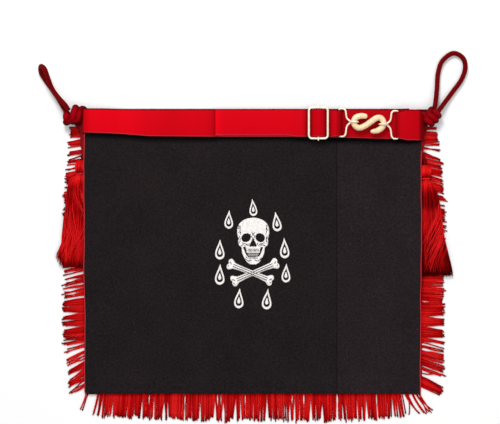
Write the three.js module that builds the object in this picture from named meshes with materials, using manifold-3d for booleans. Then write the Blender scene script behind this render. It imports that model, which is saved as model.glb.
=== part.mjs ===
// A masonic apron laid face down and seen from its back: a black cloth panel with a lap
// seam, an embroidered skull, crossbones and nine tears, a red webbing belt with a slider
// and a snake hook, cord loops with knots and tassels at the top corners, and red fringe
// on three sides. Millimetres, +Z up from the surface that it lies on, +Y to the belt.
import * as THREE from 'three';
import { mergeVertices } from 'three/addons/utils/BufferGeometryUtils.js';
import Module from 'manifold-3d';

const wasm = await Module();
wasm.setup();

// Panel
const panelWidth = 402;
const panelHeight = 341;
const clothThickness = 2;
const hemWidth = 5;
const hemRise = 0.4;
const seamOffset = 103; // from the panel's middle to the seam's middle
const seamLap = 5;

// Clearances
const clearance = 0.3; // between pieces that lie on each other
const stitchGap = 0.2; // between the embroidery and the cloth

// Fringe
const fringeLength = 29;
const lockPitch = 8.6;
const headingWidth = 10;
const headingThickness = 1.4;
const headingShow = 1.5; // what shows of the heading beyond the panel

// Cords, knots and tassels
const cordDiameter = 5.8;
const cordSides = 8;
const leftKnotLength = 25;
const leftKnotDiameter = 23;
const rightKnotLength = 23;
const rightKnotDiameter = 19;
const knotTurns = 3;
const knotSquash = 0.72; // a knot's height as a share of its width
const leftKnotDrop = 6.4; // from the belt's upper edge to a knot's middle
const rightKnotDrop = 9.4;
const leftTasselDrop = 61; // from the belt's upper edge to the top of a tassel's head
const rightTasselDrop = 67;
const leftTasselOut = 5; // from the panel's edge to the middle of a head
const rightTasselOut = 5;
const leftTasselLean = 7; // how far the end of a skirt leans outward
const rightTasselLean = 12;
const skirtUneven = 7; // how much the ends of a skirt's locks differ
const tasselHeadLength = 17;
const tasselHeadWidth = 15;
const skirtLength = 112;
const skirtWidth = 42;
const skirtLocks = 9;

// Belt
const strapWidth = 33;
const strapThickness = 1.2;
const beltInset = 0.5; // the belt's upper edge below the panel's
const shortStrapDrop = 1.2; // the right end lies a little lower
const foldInset = 1; // each edge's narrowing where the webbing goes round an eye's bar
const tuckLength = 10; // how far an end goes under the panel
const foldBeyondBar = 12.4; // the surplus turns back this far right of the right eye's bar
const shownFold = 44; // where it turns again, left of the middle
const shownShift = 10; // how far its lower turn is from the shown one
const climbStep = 4; // between the points where the short strap climbs its layers

// Slider
const sliderPlace = 77.7;
const sliderWidth = 25;
const sliderHeight = 39.5;
const sliderWire = 2.5;
const sliderBarWire = 2.1;
const sliderShift = 0.6; // above the belt's middle line
const sliderCorner = 4; // the radius of its bent corners
const sliderApproach = 16; // where the webbing starts to rise to it

// Snake hook and its eyes
const hookPlace = 137.5;
const hookDrop = 18; // from the belt's upper edge to the hook's middle
const hookLength = 41;
const hookThickness = 7;
const eyeWire = 2.1;
const eyeHeight = 36.5;
const eyeReach = 12.4; // from an eye's neck to its bar
const neckSpan = 0.4; // from an eye's ring to its neck
const leftNeckRise = 2.2; // the necks above the hook's middle
const rightNeckRise = 0.4;

// Embroidery
const emblemDrop = 1; // from the panel's middle down to the emblem's middle
const emblemReach = 68; // the tears' places are shares of it
const skullRise = 12.8; // from the emblem's middle to the skull's
const boneDrop = 24.4; // from the emblem's middle down to the bones' middles
const frontBoneShift = -3.5;
const backBoneShift = 1.9;
const tearLength = 24.5;
const tearWidth = 12;
const stitchHeight = 0.9;
const skullHeight = 56.5;
const boneLength = 52; // between the middles of its ends
const boneWidth = 5.6;
const boneKnob = 7.8;
const frontBoneTilt = -0.39;
const backBoneTilt = 0.42;

// Heights that follow from the layers
const thinLift = headingThickness + clearance;
const edgeLift = thinLift + cordDiameter + strapThickness + 2 * clearance;
const tasselRoom = edgeLift - thinLift - clearance;
const layerStep = strapThickness + clearance;
const halfWidth = panelWidth / 2;
const halfHeight = panelHeight / 2;
const strapTop = halfHeight - beltInset;
const rampEnd = 11; // the lifted border's level part
const rampWidth = 40;
const bottomRamp = 15;
const tasselFoot = 25; // below the panel's middle, where the high lift ends
const footRamp = 38;

const black = '#201a1b';
const sideBlack = '#272022';
const red = '#d6031a';
const darkRed = '#8c060c';
const tasselRed = '#aa0e11';
const fringeRed = '#b02626';
const gilt = '#e9d5a0';
const white = '#eeeae6';

const apron = new THREE.Group();
const cordNodes = [];

function addMesh(name, geometry, colour, roughness, metalness) {
  const material = new THREE.MeshStandardMaterial({ color: colour, roughness, metalness });
  const mesh = new THREE.Mesh(geometry, material);
  mesh.name = name;
  apron.add(mesh);
  return mesh;
}

function smooth(value) {
  const t = Math.min(1, Math.max(0, value));
  return t * t * (3 - 2 * t);
}

// A value read from a table by linear steps between its rows
function readTable(table, key, column, place) {
  const last = table.length - 1;
  if (place <= table[0][key]) {
    return table[0][column];
  }
  for (let i = 0; i < last; i += 1) {
    const low = table[i];
    const high = table[i + 1];
    if (place <= high[key]) {
      const share = (place - low[key]) / (high[key] - low[key]);
      return low[column] + share * (high[column] - low[column]);
    }
  }
  return table[last][column];
}

// Even places from one value to another
function spread(from, to, count) {
  const places = [];
  for (let i = 0; i <= count; i += 1) {
    places.push(from + ((to - from) * i) / count);
  }
  return places;
}

// Solids

function fromTriangles(points, triangles) {
  const geometry = new THREE.BufferGeometry();
  const flat = points.flatMap((p) => [p.x, p.y, p.z]);
  geometry.setAttribute('position', new THREE.Float32BufferAttribute(flat, 3));
  geometry.setIndex(triangles.flat());
  return geometry;
}

// A skin over rings of points. An open loft has a fan at each end.
function loft(rings, closed) {
  const sides = rings[0].length;
  const points = rings.flat();
  const triangles = [];
  const spans = closed ? rings.length : rings.length - 1;
  for (let i = 0; i < spans; i += 1) {
    const next = (i + 1) % rings.length;
    for (let j = 0; j < sides; j += 1) {
      const k = (j + 1) % sides;
      triangles.push([i * sides + j, i * sides + k, next * sides + k]);
      triangles.push([i * sides + j, next * sides + k, next * sides + j]);
    }
  }
  if (!closed) {
    for (const end of [0, rings.length - 1]) {
      const middle = new THREE.Vector3();
      for (const p of rings[end]) {
        middle.add(p);
      }
      middle.divideScalar(sides);
      const hub = points.length;
      points.push(middle);
      for (let j = 0; j < sides; j += 1) {
        const k = (j + 1) % sides;
        const a = end * sides + j;
        const b = end * sides + k;
        triangles.push(end === 0 ? [hub, b, a] : [hub, a, b]);
      }
    }
  }
  return fromTriangles(points, triangles);
}

// Rings of a wire along points, square to its path, with a radius for each share of the way
function wireRings(path, radius, sides, closed) {
  const rings = [];
  const count = path.length;
  let side = null;
  for (let i = 0; i < count; i += 1) {
    const before = closed ? path[(i + count - 1) % count] : path[Math.max(0, i - 1)];
    const after = closed ? path[(i + 1) % count] : path[Math.min(count - 1, i + 1)];
    const along = after.clone().sub(before).normalize();
    if (side === null) {
      const up = Math.abs(along.z) < 0.9 ? new THREE.Vector3(0, 0, 1) : new THREE.Vector3(0, 1, 0);
      side = up;
    }
    side = side.clone().addScaledVector(along, -side.dot(along)).normalize();
    const third = along.clone().cross(side);
    const size = radius(i / (count - 1));
    const ring = [];
    for (let j = 0; j < sides; j += 1) {
      const angle = ((j + 0.5) * 2 * Math.PI) / sides;
      const p = path[i].clone();
      p.addScaledVector(side, size * Math.cos(angle));
      p.addScaledVector(third, size * Math.sin(angle));
      ring.push(p);
    }
    rings.push(ring);
  }
  return rings;
}

function wire(path, diameter, sides, closed) {
  return loft(wireRings(path, () => diameter / 2, sides, closed), closed);
}

// A cord's tube along a smooth curve through chosen points
function cordTube(points) {
  const curve = new THREE.CatmullRomCurve3(points, false, 'centripetal');
  const section = new THREE.Shape();
  for (let i = 0; i < cordSides; i += 1) {
    const angle = (i * 2 * Math.PI) / cordSides;
    const x = (Math.cos(angle) * cordDiameter) / 2;
    const y = (Math.sin(angle) * cordDiameter) / 2;
    if (i === 0) {
      section.moveTo(x, y);
    } else {
      section.lineTo(x, y);
    }
  }
  const steps = Math.ceil(curve.getLength() / (2 * cordDiameter)) + 4;
  return new THREE.ExtrudeGeometry(section, { steps, extrudePath: curve, bevelEnabled: false });
}

function solidOf(geometry) {
  const bare = geometry.clone();
  bare.deleteAttribute('normal');
  bare.deleteAttribute('uv');
  const merged = mergeVertices(bare, 1e-4);
  const vertProperties = new Float32Array(merged.attributes.position.array);
  const triVerts = new Uint32Array(merged.index.array);
  return new wasm.Manifold(new wasm.Mesh({ numProp: 3, vertProperties, triVerts }));
}

function geometryOf(solid) {
  const mesh = solid.getMesh();
  const geometry = new THREE.BufferGeometry();
  geometry.setAttribute('position', new THREE.BufferAttribute(mesh.vertProperties, 3));
  geometry.setIndex(new THREE.BufferAttribute(mesh.triVerts, 1));
  return geometry;
}

// How the cloth lies

// The height of the panel's side borders: high over the cords and tassels, low below them
function sideLift(y) {
  const high = smooth((y + tasselFoot + footRamp) / footRamp);
  return thinLift + (edgeLift - thinLift) * high;
}

function lift(x, y) {
  const toEdge = Math.abs(x) - (halfWidth - rampEnd - rampWidth);
  const side = sideLift(y) * smooth(toEdge / rampWidth);
  const toBottom = -y - (halfHeight - rampEnd - bottomRamp);
  return Math.max(side, thinLift * smooth(toBottom / bottomRamp));
}

// A cloth slab between two heights over a grid of places
function clothSlab(xs, ys, bottomAt, topAt) {
  const points = [];
  const triangles = [];
  const nx = xs.length;
  const ny = ys.length;
  for (const heightAt of [bottomAt, topAt]) {
    for (const y of ys) {
      for (const x of xs) {
        points.push(new THREE.Vector3(x, y, heightAt(x, y)));
      }
    }
  }
  const at = (i, j, layer) => layer * nx * ny + j * nx + i;
  for (let j = 0; j < ny - 1; j += 1) {
    for (let i = 0; i < nx - 1; i += 1) {
      triangles.push([at(i, j, 1), at(i + 1, j, 1), at(i + 1, j + 1, 1)]);
      triangles.push([at(i, j, 1), at(i + 1, j + 1, 1), at(i, j + 1, 1)]);
      triangles.push([at(i, j, 0), at(i + 1, j + 1, 0), at(i + 1, j, 0)]);
      triangles.push([at(i, j, 0), at(i, j + 1, 0), at(i + 1, j + 1, 0)]);
    }
  }
  const wall = (a, b) => {
    triangles.push([at(...a, 0), at(...b, 0), at(...b, 1)]);
    triangles.push([at(...a, 0), at(...b, 1), at(...a, 1)]);
  };
  for (let i = 0; i < nx - 1; i += 1) {
    wall([i, 0], [i + 1, 0]);
    wall([i + 1, ny - 1], [i, ny - 1]);
  }
  for (let j = 0; j < ny - 1; j += 1) {
    wall([nx - 1, j], [nx - 1, j + 1]);
    wall([0, j + 1], [0, j]);
  }
  return fromTriangles(points, triangles);
}

// The panel, two cloths whose edges lap at the seam
function addPanel() {
  const hemSlope = 0.6;
  const seamLeft = seamOffset - seamLap / 2;
  const seamRight = seamOffset + seamLap / 2;
  const tongue = (clothThickness - clearance) / 2;
  const hem = (x, y) => {
    const inside = Math.min(halfWidth - Math.abs(x), halfHeight - Math.abs(y));
    return inside < hemWidth - hemSlope / 2 ? hemRise : 0;
  };
  const ys = [-halfHeight, -halfHeight + hemWidth - hemSlope, -halfHeight + hemWidth];
  ys.push(...spread(-halfHeight + rampEnd, -halfHeight + rampEnd + bottomRamp, 2));
  ys.push(...spread(-tasselFoot - footRamp * 1.5, -tasselFoot - footRamp, 1));
  ys.push(...spread(-tasselFoot - footRamp * 0.75, -tasselFoot, 3));
  ys.push(...spread(0, halfHeight - hemWidth, 3));
  ys.push(halfHeight - hemWidth + hemSlope, halfHeight);
  const border = [halfWidth, halfWidth - hemWidth + hemSlope, halfWidth - hemWidth];
  border.push(...spread(halfWidth - rampEnd, halfWidth - rampEnd - rampWidth, 5));

  const mainXs = border.map((x) => -x);
  mainXs.push(-halfWidth / 2, 0, seamLeft - clearance, seamLeft, seamRight - clearance);
  const mainTop = (x, y) => {
    const height = x >= seamLeft ? tongue : clothThickness + hem(x, y);
    return lift(x, y) + height;
  };
  addMesh('panel_main', clothSlab(mainXs, ys, lift, mainTop), black, 0.85, 0);

  const sideXs = [seamLeft + clearance, seamRight, seamRight + clearance, ...border.reverse()];
  const sideBottom = (x, y) => lift(x, y) + (x <= seamRight ? tongue + clearance : 0);
  const sideTop = (x, y) => {
    return lift(x, y) + clothThickness + hem(x, y);
  };
  addMesh('panel_side', clothSlab(sideXs, ys, sideBottom, sideTop), sideBlack, 0.85, 0);
}
addPanel();

// Belt

const beltMiddle = strapTop - strapWidth / 2;

function clothTop(x) {
  return lift(x, beltMiddle) + clothThickness;
}

// The middle height of a strap layer; layer 0 lies on the cloth
function layerAt(x, layer) {
  return clothTop(x) + clearance + strapThickness / 2 + layer * layerStep + hemRise;
}

// A ribbon along a path in x and z. A point may raise its lower edge by a share of its
// width, or draw both edges in.
function ribbon(path, upperEdge) {
  const rings = path.map((p, i) => {
    const before = path[Math.max(0, i - 1)];
    const after = path[Math.min(path.length - 1, i + 1)];
    const run = Math.hypot(after.x - before.x, after.z - before.z);
    const nx = (-(after.z - before.z) / run) * (strapThickness / 2);
    const nz = ((after.x - before.x) / run) * (strapThickness / 2);
    const inset = p.inset ?? 0;
    const low = upperEdge - strapWidth * (1 - p.raised) + inset;
    const high = upperEdge - inset;
    return [
      new THREE.Vector3(p.x - nx, low, p.z - nz),
      new THREE.Vector3(p.x - nx, high, p.z - nz),
      new THREE.Vector3(p.x + nx, high, p.z + nz),
      new THREE.Vector3(p.x + nx, low, p.z + nz),
    ];
  });
  return loft(rings, false);
}

// Points of a half turn from one layer to another, turning about a place
function turn(x, z, radius, outward, fromTop, raised) {
  const points = [];
  for (const angle of spread(-Math.PI / 2, Math.PI / 2, 6)) {
    const way = fromTop ? -angle : angle;
    const dx = outward * radius * Math.cos(way);
    points.push({ x: x + dx, z: z + radius * Math.sin(way), raised });
  }
  return points;
}

// The same points with both edges drawn in
function drawnIn(points) {
  return points.map((p) => ({ ...p, inset: foldInset }));
}

// How much of the webbing's width is hidden above its lower edge, along the belt
const lowerEdge = [
  { along: -0.5, raised: 0.14 },
  { along: -0.39, raised: 0.1 },
  { along: -0.31, raised: 0.02 },
  { along: -0.11, raised: 0 },
  { along: 0.5, raised: 0 },
];
const upperLowerEdge = [
  { along: -0.11, raised: 0.045 },
  { along: 0.1, raised: 0.045 },
  { along: 0.2, raised: 0.01 },
  { along: 0.5, raised: 0 },
];

const sliderZ = layerAt(sliderPlace, 3) + strapThickness / 2 + clearance + sliderWire / 2;
const sliderReach = (sliderWidth - sliderWire) / 2;
const eyeTurn = eyeWire / 2 + clearance + strapThickness / 2;
const ringRadius = (hookThickness + eyeWire) / 2 + clearance;
const neckReach = hookLength / 2 - hookThickness / 2 + ringRadius + neckSpan;
const leftNeck = hookPlace - neckReach;
const rightNeck = hookPlace + neckReach;
const leftBar = leftNeck - eyeReach;
const rightBar = rightNeck + eyeReach;
const hiddenFold = rightBar + foldBeyondBar;
const leftBarZ = layerAt(leftBar, 2) + eyeTurn;
const rightBarZ = layerAt(rightBar, 2) + eyeTurn;
const ringBed = Math.max(layerAt(leftNeck, 1), layerAt(rightNeck - ringRadius, 1));
const ringFloor = ringBed + strapThickness / 2;
const hookZ = ringFloor + clearance + ringRadius + eyeWire / 2;

// The webbing under a panel's edge and round it, from inside outward
function roundEdge(outward, raised) {
  const edge = outward * halfWidth;
  const under = lift(edge, beltMiddle) - clearance - strapThickness / 2;
  const radius = (layerAt(edge, 0) - under) / 2;
  const inside = outward * (halfWidth - tuckLength);
  const points = [{ x: inside, z: under, raised }];
  points.push(...turn(edge, under + radius, radius, outward, false, raised));
  return points;
}

function addAdjustingStrap() {
  const path = roundEdge(-1, lowerEdge[0].raised);
  const shareOf = (x) => x / panelWidth;
  const raisedAt = (x) => readTable(lowerEdge, 'along', 'raised', shareOf(x));
  const topRaisedAt = (x) => readTable(upperLowerEdge, 'along', 'raised', shareOf(x));
  const rampStart = halfWidth - rampEnd - rampWidth;
  const level = rampStart - rampWidth / 2;
  const first = [...spread(-halfWidth + climbStep * 1.5, -rampStart, 6), -level, -shownFold];
  first.push(0, level, ...spread(rampStart, hiddenFold, 5));
  for (const x of first) {
    path.push({ x, z: layerAt(x, 0), raised: raisedAt(x) });
  }
  path.push(...turn(hiddenFold, layerAt(hiddenFold, 0.5), layerStep / 2, 1, false, 0).slice(1));
  for (const x of [...spread(hiddenFold, rampStart, 5).slice(1), level, 0]) {
    path.push({ x, z: layerAt(x, 1), raised: 0 });
  }
  const turnRaised = upperLowerEdge[0].raised;
  path.push({ x: -shownFold + shownShift, z: layerAt(0, 1), raised: 0 });
  path.push(...turn(-shownFold, layerAt(0, 1.5), layerStep / 2, -1, false, turnRaised));

  // Over the cloth to the slider, under its sides and over its middle bar
  const left = sliderPlace - sliderReach;
  const right = sliderPlace + sliderReach;
  const under = layerAt(sliderPlace, 3);
  const over = sliderZ + (sliderBarWire + strapThickness) / 2 + clearance;
  const rise = over - under;
  path.push({ x: 0, z: layerAt(0, 2), raised: topRaisedAt(0) });
  path.push({ x: left - sliderApproach, z: layerAt(0, 2), raised: topRaisedAt(left) });
  path.push({ x: left - sliderApproach / 2, z: layerAt(0, 2.45), raised: topRaisedAt(left) });
  const hump = [
    { across: -1, up: 0 },
    { across: -0.82, up: 0.08 },
    { across: -0.55, up: 0.5 },
    { across: -0.25, up: 0.93 },
    { across: 0, up: 1 },
    { across: 0.25, up: 0.93 },
    { across: 0.55, up: 0.5 },
    { across: 0.82, up: 0.08 },
    { across: 1, up: 0 },
  ];
  for (const row of hump) {
    const x = sliderPlace + row.across * sliderReach;
    path.push({ x, z: under + row.up * rise, raised: topRaisedAt(x) });
  }
  path.push({ x: right + (leftBar - right) / 3, z: under + 0.4, raised: 0 });
  path.push({ x: right + (leftBar - right) / 1.6, z: leftBarZ + eyeTurn - 0.6, raised: 0 });
  path.push(...drawnIn(turn(leftBar, leftBarZ, eyeTurn, 1, true, 0)));
  path.push({ x: right + (leftBar - right) / 2, z: layerAt(right, 2), raised: 0 });
  path.push({ x: right - 3, z: layerAt(right, 2), raised: 0 });
  const wrap = (sliderBarWire + strapThickness) / 2 + clearance;
  for (const angle of spread(-Math.PI / 2, -Math.PI * 1.05, 4)) {
    const x = sliderPlace + wrap * Math.cos(angle);
    path.push({ x, z: sliderZ + wrap * Math.sin(angle), raised: 0 });
  }
  addMesh('adjusting_strap', ribbon(path, strapTop), red, 0.6, 0);
}
addAdjustingStrap();

function addShortStrap() {
  const path = roundEdge(1, 0);
  const foldTop = layerAt(hiddenFold, 2) + strapThickness / 2;
  path.push({ x: halfWidth - climbStep, z: layerAt(halfWidth, 0.25), raised: 0 });
  path.push({ x: halfWidth - 2 * climbStep, z: layerAt(halfWidth, 1.2), raised: 0 });
  path.push({ x: hiddenFold + 0.75 * climbStep, z: foldTop + clearance, raised: 0 });
  path.push({ x: hiddenFold - climbStep / 2, z: layerAt(hiddenFold, 3.1), raised: 0 });
  path.push({ x: rightBar + climbStep, z: rightBarZ + eyeTurn + clearance, raised: 0 });
  path.push(...drawnIn(turn(rightBar, rightBarZ, eyeTurn, -1, true, 0)));
  for (const x of [rightBar + climbStep, rightBar + 2 * climbStep]) {
    path.push({ x, z: layerAt(x, 2), raised: 0 });
  }
  addMesh('short_strap', ribbon(path, strapTop - shortStrapDrop), red, 0.6, 0);
}
addShortStrap();

// Slider, a wire frame with a middle bar

function addSlider() {
  const across = sliderReach;
  const up = (sliderHeight - sliderWire) / 2;
  const round = sliderCorner;
  const middleY = beltMiddle + sliderShift;
  const path = [];
  const corners = [
    { x: 1, y: 1, start: 0 },
    { x: -1, y: 1, start: Math.PI / 2 },
    { x: -1, y: -1, start: Math.PI },
    { x: 1, y: -1, start: (3 * Math.PI) / 2 },
  ];
  for (const corner of corners) {
    for (const angle of spread(corner.start, corner.start + Math.PI / 2, 4)) {
      const x = sliderPlace + corner.x * (across - round) + round * Math.cos(angle);
      const y = middleY + corner.y * (up - round) + round * Math.sin(angle);
      path.push(new THREE.Vector3(x, y, sliderZ));
    }
  }
  const frame = solidOf(wire(path, sliderWire, 8, true));
  const barEnd = up + sliderWire / 2 - 0.2;
  const barPath = [
    new THREE.Vector3(sliderPlace, middleY - barEnd, sliderZ),
    new THREE.Vector3(sliderPlace, middleY + barEnd, sliderZ),
  ];
  const bar = solidOf(wire(barPath, sliderBarWire, 8, false));
  addMesh('slider', geometryOf(frame.add(bar)), gilt, 0.25, 1);
}
addSlider();

// Snake hook: its bent middle line, as shares of its length, and its thickness along it
const snakeLine = [
  { across: -0.04, up: 0.205 },
  { across: -0.15, up: 0.225 },
  { across: -0.27, up: 0.22 },
  { across: -0.385, up: 0.165 },
  { across: -0.43, up: 0.055 },
  { across: -0.39, up: -0.06 },
  { across: -0.275, up: -0.12 },
  { across: -0.105, up: -0.06 },
  { across: 0.07, up: 0.06 },
  { across: 0.235, up: 0.165 },
  { across: 0.35, up: 0.165 },
  { across: 0.43, up: 0.055 },
  { across: 0.405, up: -0.09 },
  { across: 0.285, up: -0.185 },
  { across: 0.115, up: -0.225 },
];
const snakeThickness = [
  { along: 0, share: 0.45 },
  { along: 0.02, share: 0.75 },
  { along: 0.06, share: 0.9 },
  { along: 0.15, share: 1 },
  { along: 0.9, share: 1 },
  { along: 0.97, share: 0.7 },
  { along: 1, share: 0.35 },
];
const hookY = strapTop - hookDrop;

function addHook() {
  const line = snakeLine.map((row) => {
    const x = hookPlace + row.across * hookLength;
    return new THREE.Vector3(x, hookY + row.up * hookLength, hookZ);
  });
  const curve = new THREE.CatmullRomCurve3(line, false, 'centripetal');
  const radius = (share) => {
    return (readTable(snakeThickness, 'along', 'share', share) * hookThickness) / 2;
  };
  const rings = wireRings(curve.getSpacedPoints(32), radius, 8, false);
  addMesh('snake_hook', loft(rings, false), gilt, 0.3, 1);
}
addHook();

// Half of an eye's wire, from its neck to its bar, as shares of its reach and half its height
const eyeLine = [
  { back: 0.0, out: 0.075 },
  { back: 0.15, out: 0.16 },
  { back: 0.3, out: 0.32 },
  { back: 0.37, out: 0.62 },
  { back: 0.42, out: 0.85 },
  { back: 0.58, out: 0.985 },
  { back: 0.8, out: 1 },
  { back: 0.97, out: 0.975 },
];

function addEye(name, neck, outward, neckY, barY, barZ, ringX) {
  const path = [];
  const place = (row, side) => {
    const x = neck + outward * row.back * eyeReach;
    const z = hookZ + (barZ - hookZ) * Math.min(1, row.back * 1.03);
    const middleY = neckY + (barY - neckY) * Math.min(1, row.back * 1.6);
    const y = middleY + (side * row.out * (eyeHeight - eyeWire)) / 2;
    path.push(new THREE.Vector3(x, y, z));
  };
  for (const row of eyeLine) {
    place(row, 1);
  }
  place({ back: 1, out: 0.925 }, 1);
  place({ back: 1, out: 0.925 }, -1);
  for (const row of [...eyeLine].reverse()) {
    place(row, -1);
  }
  const arms = solidOf(wire(path, eyeWire, 6, true));
  const ring = [];
  for (const angle of spread(0, 2 * Math.PI, 14).slice(1)) {
    const x = ringX + ringRadius * Math.cos(angle);
    ring.push(new THREE.Vector3(x, neckY, hookZ + ringRadius * Math.sin(angle)));
  }
  const ringSolid = solidOf(wire(ring, eyeWire, 6, true));
  const stemPath = [
    new THREE.Vector3(ringX + outward * ringRadius, neckY, hookZ),
    new THREE.Vector3(neck + outward * eyeWire * 0.4, neckY, hookZ),
  ];
  const stem = solidOf(wire(stemPath, eyeWire * 1.2, 6, false));
  addMesh(name, geometryOf(arms.add(ringSolid).add(stem)), gilt, 0.25, 1);
}
const ringInset = 0.43 * hookLength;
const leftRingX = hookPlace - ringInset;
const rightRingX = hookPlace + ringInset;
const rightBarY = beltMiddle - shortStrapDrop;
addEye('eye_left', leftNeck, -1, hookY + leftNeckRise, beltMiddle, leftBarZ, leftRingX);
addEye('eye_right', rightNeck, 1, hookY + rightNeckRise, rightBarY, rightBarZ, rightRingX);

// Fringe: a heading with a row of locks, cut as one comb and thinner to its tips

// The seeded scatter that makes locks uneven
function scatter(index, seed) {
  const value = Math.sin(index * 12.9898 + seed * 78.233) * 43758.5453;
  return value - Math.floor(value);
}

// Place along a heading, 0 to 1, and how far its locks lean towards its end, in radians
function fringe(name, start, end, outDirection, leanTable, seed) {
  const along = end.clone().sub(start);
  const run = along.length();
  along.normalize();
  const count = Math.round(run / lockPitch);
  const at = (place, out) => {
    return start.clone().addScaledVector(along, place).addScaledVector(outDirection, out);
  };
  const shape = new THREE.Shape();
  const inner = headingShow - headingWidth;
  const corner = at(0, inner);
  shape.moveTo(corner.x, corner.y);
  const outline = [];
  for (let i = 0; i < count; i += 1) {
    const middle = ((i + 0.5) * run) / count;
    const pitch = run / count;
    const share = middle / run;
    const lean = readTable(leanTable, 'along', 'lean', share) + (scatter(i, seed) - 0.5) * 0.12;
    const length = fringeLength * readTable(leanTable, 'along', 'reach', share);
    const reach = length * (0.88 + 0.12 * scatter(i, seed + 1));
    const tip = (side, far) => {
      const width = pitch * (0.47 - 0.2 * far * scatter(i, seed + 2));
      const slide = middle + Math.sin(lean) * reach * far + side * width * Math.cos(lean);
      const out = headingShow + (Math.cos(lean) * reach - side * width * Math.sin(lean)) * far;
      return at(slide, out);
    };
    outline.push(at(middle - pitch * 0.49, headingShow), tip(-1, 0.55), tip(-1, 1));
    outline.push(tip(1, 1), tip(1, 0.55), at(middle + pitch * 0.49, headingShow));
  }
  outline.push(at(run, inner));
  for (const p of outline) {
    shape.lineTo(p.x, p.y);
  }
  const geometry = new THREE.ExtrudeGeometry(shape, { depth: 1, bevelEnabled: false });
  const position = geometry.attributes.position;
  for (let i = 0; i < position.count; i += 1) {
    const p = new THREE.Vector2(position.getX(i), position.getY(i));
    const out = Math.max(0, p.sub(start).dot(outDirection) - headingShow);
    const thin = 1 - 0.5 * Math.min(1, out / fringeLength);
    position.setZ(i, position.getZ(i) * headingThickness * thin);
  }
  addMesh(name, geometry, fringeRed, 0.7, 0);
}

function addFringes() {
  const top = strapTop - strapWidth * 0.6;
  const sideLean = [
    { along: 0, lean: 0.02, reach: 0.64 },
    { along: 0.1, lean: 0.04, reach: 0.8 },
    { along: 0.25, lean: 0.08, reach: 0.93 },
    { along: 0.5, lean: 0.14, reach: 0.95 },
    { along: 0.8, lean: 0.1, reach: 0.95 },
    { along: 0.92, lean: 0.3, reach: 0.85 },
    { along: 1, lean: 0.7, reach: 0.95 },
  ];
  const bottomLean = [
    { along: 0, lean: -0.35, reach: 0.75 },
    { along: 0.04, lean: -0.15, reach: 1 },
    { along: 0.2, lean: -0.04, reach: 1.09 },
    { along: 0.34, lean: 0, reach: 1.18 },
    { along: 0.78, lean: 0.02, reach: 1.18 },
    { along: 0.9, lean: 0.06, reach: 1.07 },
    { along: 1, lean: 0.4, reach: 0.95 },
  ];
  const bottomEnd = headingWidth - headingShow + clearance;
  for (const side of [-1, 1]) {
    const start = new THREE.Vector2(side * halfWidth, top);
    const end = new THREE.Vector2(side * halfWidth, -halfHeight + bottomEnd);
    const out = new THREE.Vector2(side, 0);
    fringe(side < 0 ? 'fringe_left' : 'fringe_right', start, end, out, sideLean, side + 2);
  }
  const left = new THREE.Vector2(-halfWidth, -halfHeight);
  const right = new THREE.Vector2(halfWidth, -halfHeight);
  fringe('fringe_bottom', left, right, new THREE.Vector2(0, -1), bottomLean, 7);
}
addFringes();

// Tassels: a wound head, a skirt of locks, and the cord that carries them from the knot

// A closed ring of points across a piece that lies along Y, flat below and round above
function lyingRing(x, y, floorZ, halfAcross, height, sides, waviness) {
  const ring = [];
  for (let j = 0; j < sides; j += 1) {
    const angle = (j * 2 * Math.PI) / sides;
    const wave = 1 + waviness * Math.cos(skirtLocks * angle);
    const px = x + halfAcross * wave * Math.cos(angle);
    const pz = floorZ + (height / 2) * (1 + wave * Math.sin(angle));
    ring.push(new THREE.Vector3(px, y, Math.max(floorZ, Math.min(floorZ + height, pz))));
  }
  return ring;
}

const headRows = [
  { down: 0, wide: 0.45, high: 0.62 },
  { down: 0.1, wide: 0.75, high: 0.85 },
  { down: 0.35, wide: 1, high: 1 },
  { down: 0.65, wide: 0.97, high: 1 },
  { down: 0.9, wide: 0.8, high: 0.9 },
  { down: 1, wide: 0.66, high: 0.8 },
];
// The left skirt spreads right below its head, the right one more evenly
const skirtRows = [
  { down: 0, leftWide: 0.44, rightWide: 0.28, high: 0.72, aside: 0.1 },
  { down: 0.06, leftWide: 0.64, rightWide: 0.46, high: 0.85, aside: 0.14 },
  { down: 0.16, leftWide: 0.78, rightWide: 0.63, high: 0.95, aside: 0.2 },
  { down: 0.35, leftWide: 0.83, rightWide: 0.76, high: 1, aside: 0.3 },
  { down: 0.6, leftWide: 0.94, rightWide: 0.86, high: 0.95, aside: 0.45 },
  { down: 0.85, leftWide: 1.03, rightWide: 0.98, high: 0.8, aside: 0.7 },
  { down: 1, leftWide: 0.88, rightWide: 1.0, high: 0.6, aside: 1 },
];

function addTassel(name, side, headX, headTop, lean) {
  const headFloor = thinLift;
  const head = headRows.map((row) => {
    const y = headTop - row.down * tasselHeadLength;
    const high = tasselRoom * row.high;
    const low = headFloor + (tasselRoom - high) / 2;
    return lyingRing(headX, y, low, (tasselHeadWidth * row.wide) / 2, high, 12, 0);
  });
  addMesh(`${name}_head`, loft(head, false), tasselRed, 0.5, 0);
  const skirtTop = headTop - tasselHeadLength - clearance;
  const skirt = skirtRows.map((row) => {
    const y = skirtTop - row.down * skirtLength;
    const high = tasselRoom * row.high;
    const low = headFloor + (tasselRoom - high) * (row.down < 0.3 ? 0.5 : 0);
    const x = headX + side * row.aside * lean;
    const wide = (skirtWidth * (side < 0 ? row.leftWide : row.rightWide)) / 2;
    return lyingRing(x, y, low, wide, high, skirtLocks * 2, 0.05);
  });
  const last = skirt[skirt.length - 1];
  last.forEach((p, j) => {
    p.y += skirtUneven * (scatter(j, side + 3) - 0.4);
  });
  addMesh(`${name}_skirt`, loft(skirt, false), tasselRed, 0.5, 0);
}

const leftHeadX = -halfWidth - leftTasselOut;
const rightHeadX = halfWidth + rightTasselOut;
addTassel('tassel_left', -1, leftHeadX, strapTop - leftTasselDrop, leftTasselLean);
addTassel('tassel_right', 1, rightHeadX, strapTop - rightTasselDrop, rightTasselLean);

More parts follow.
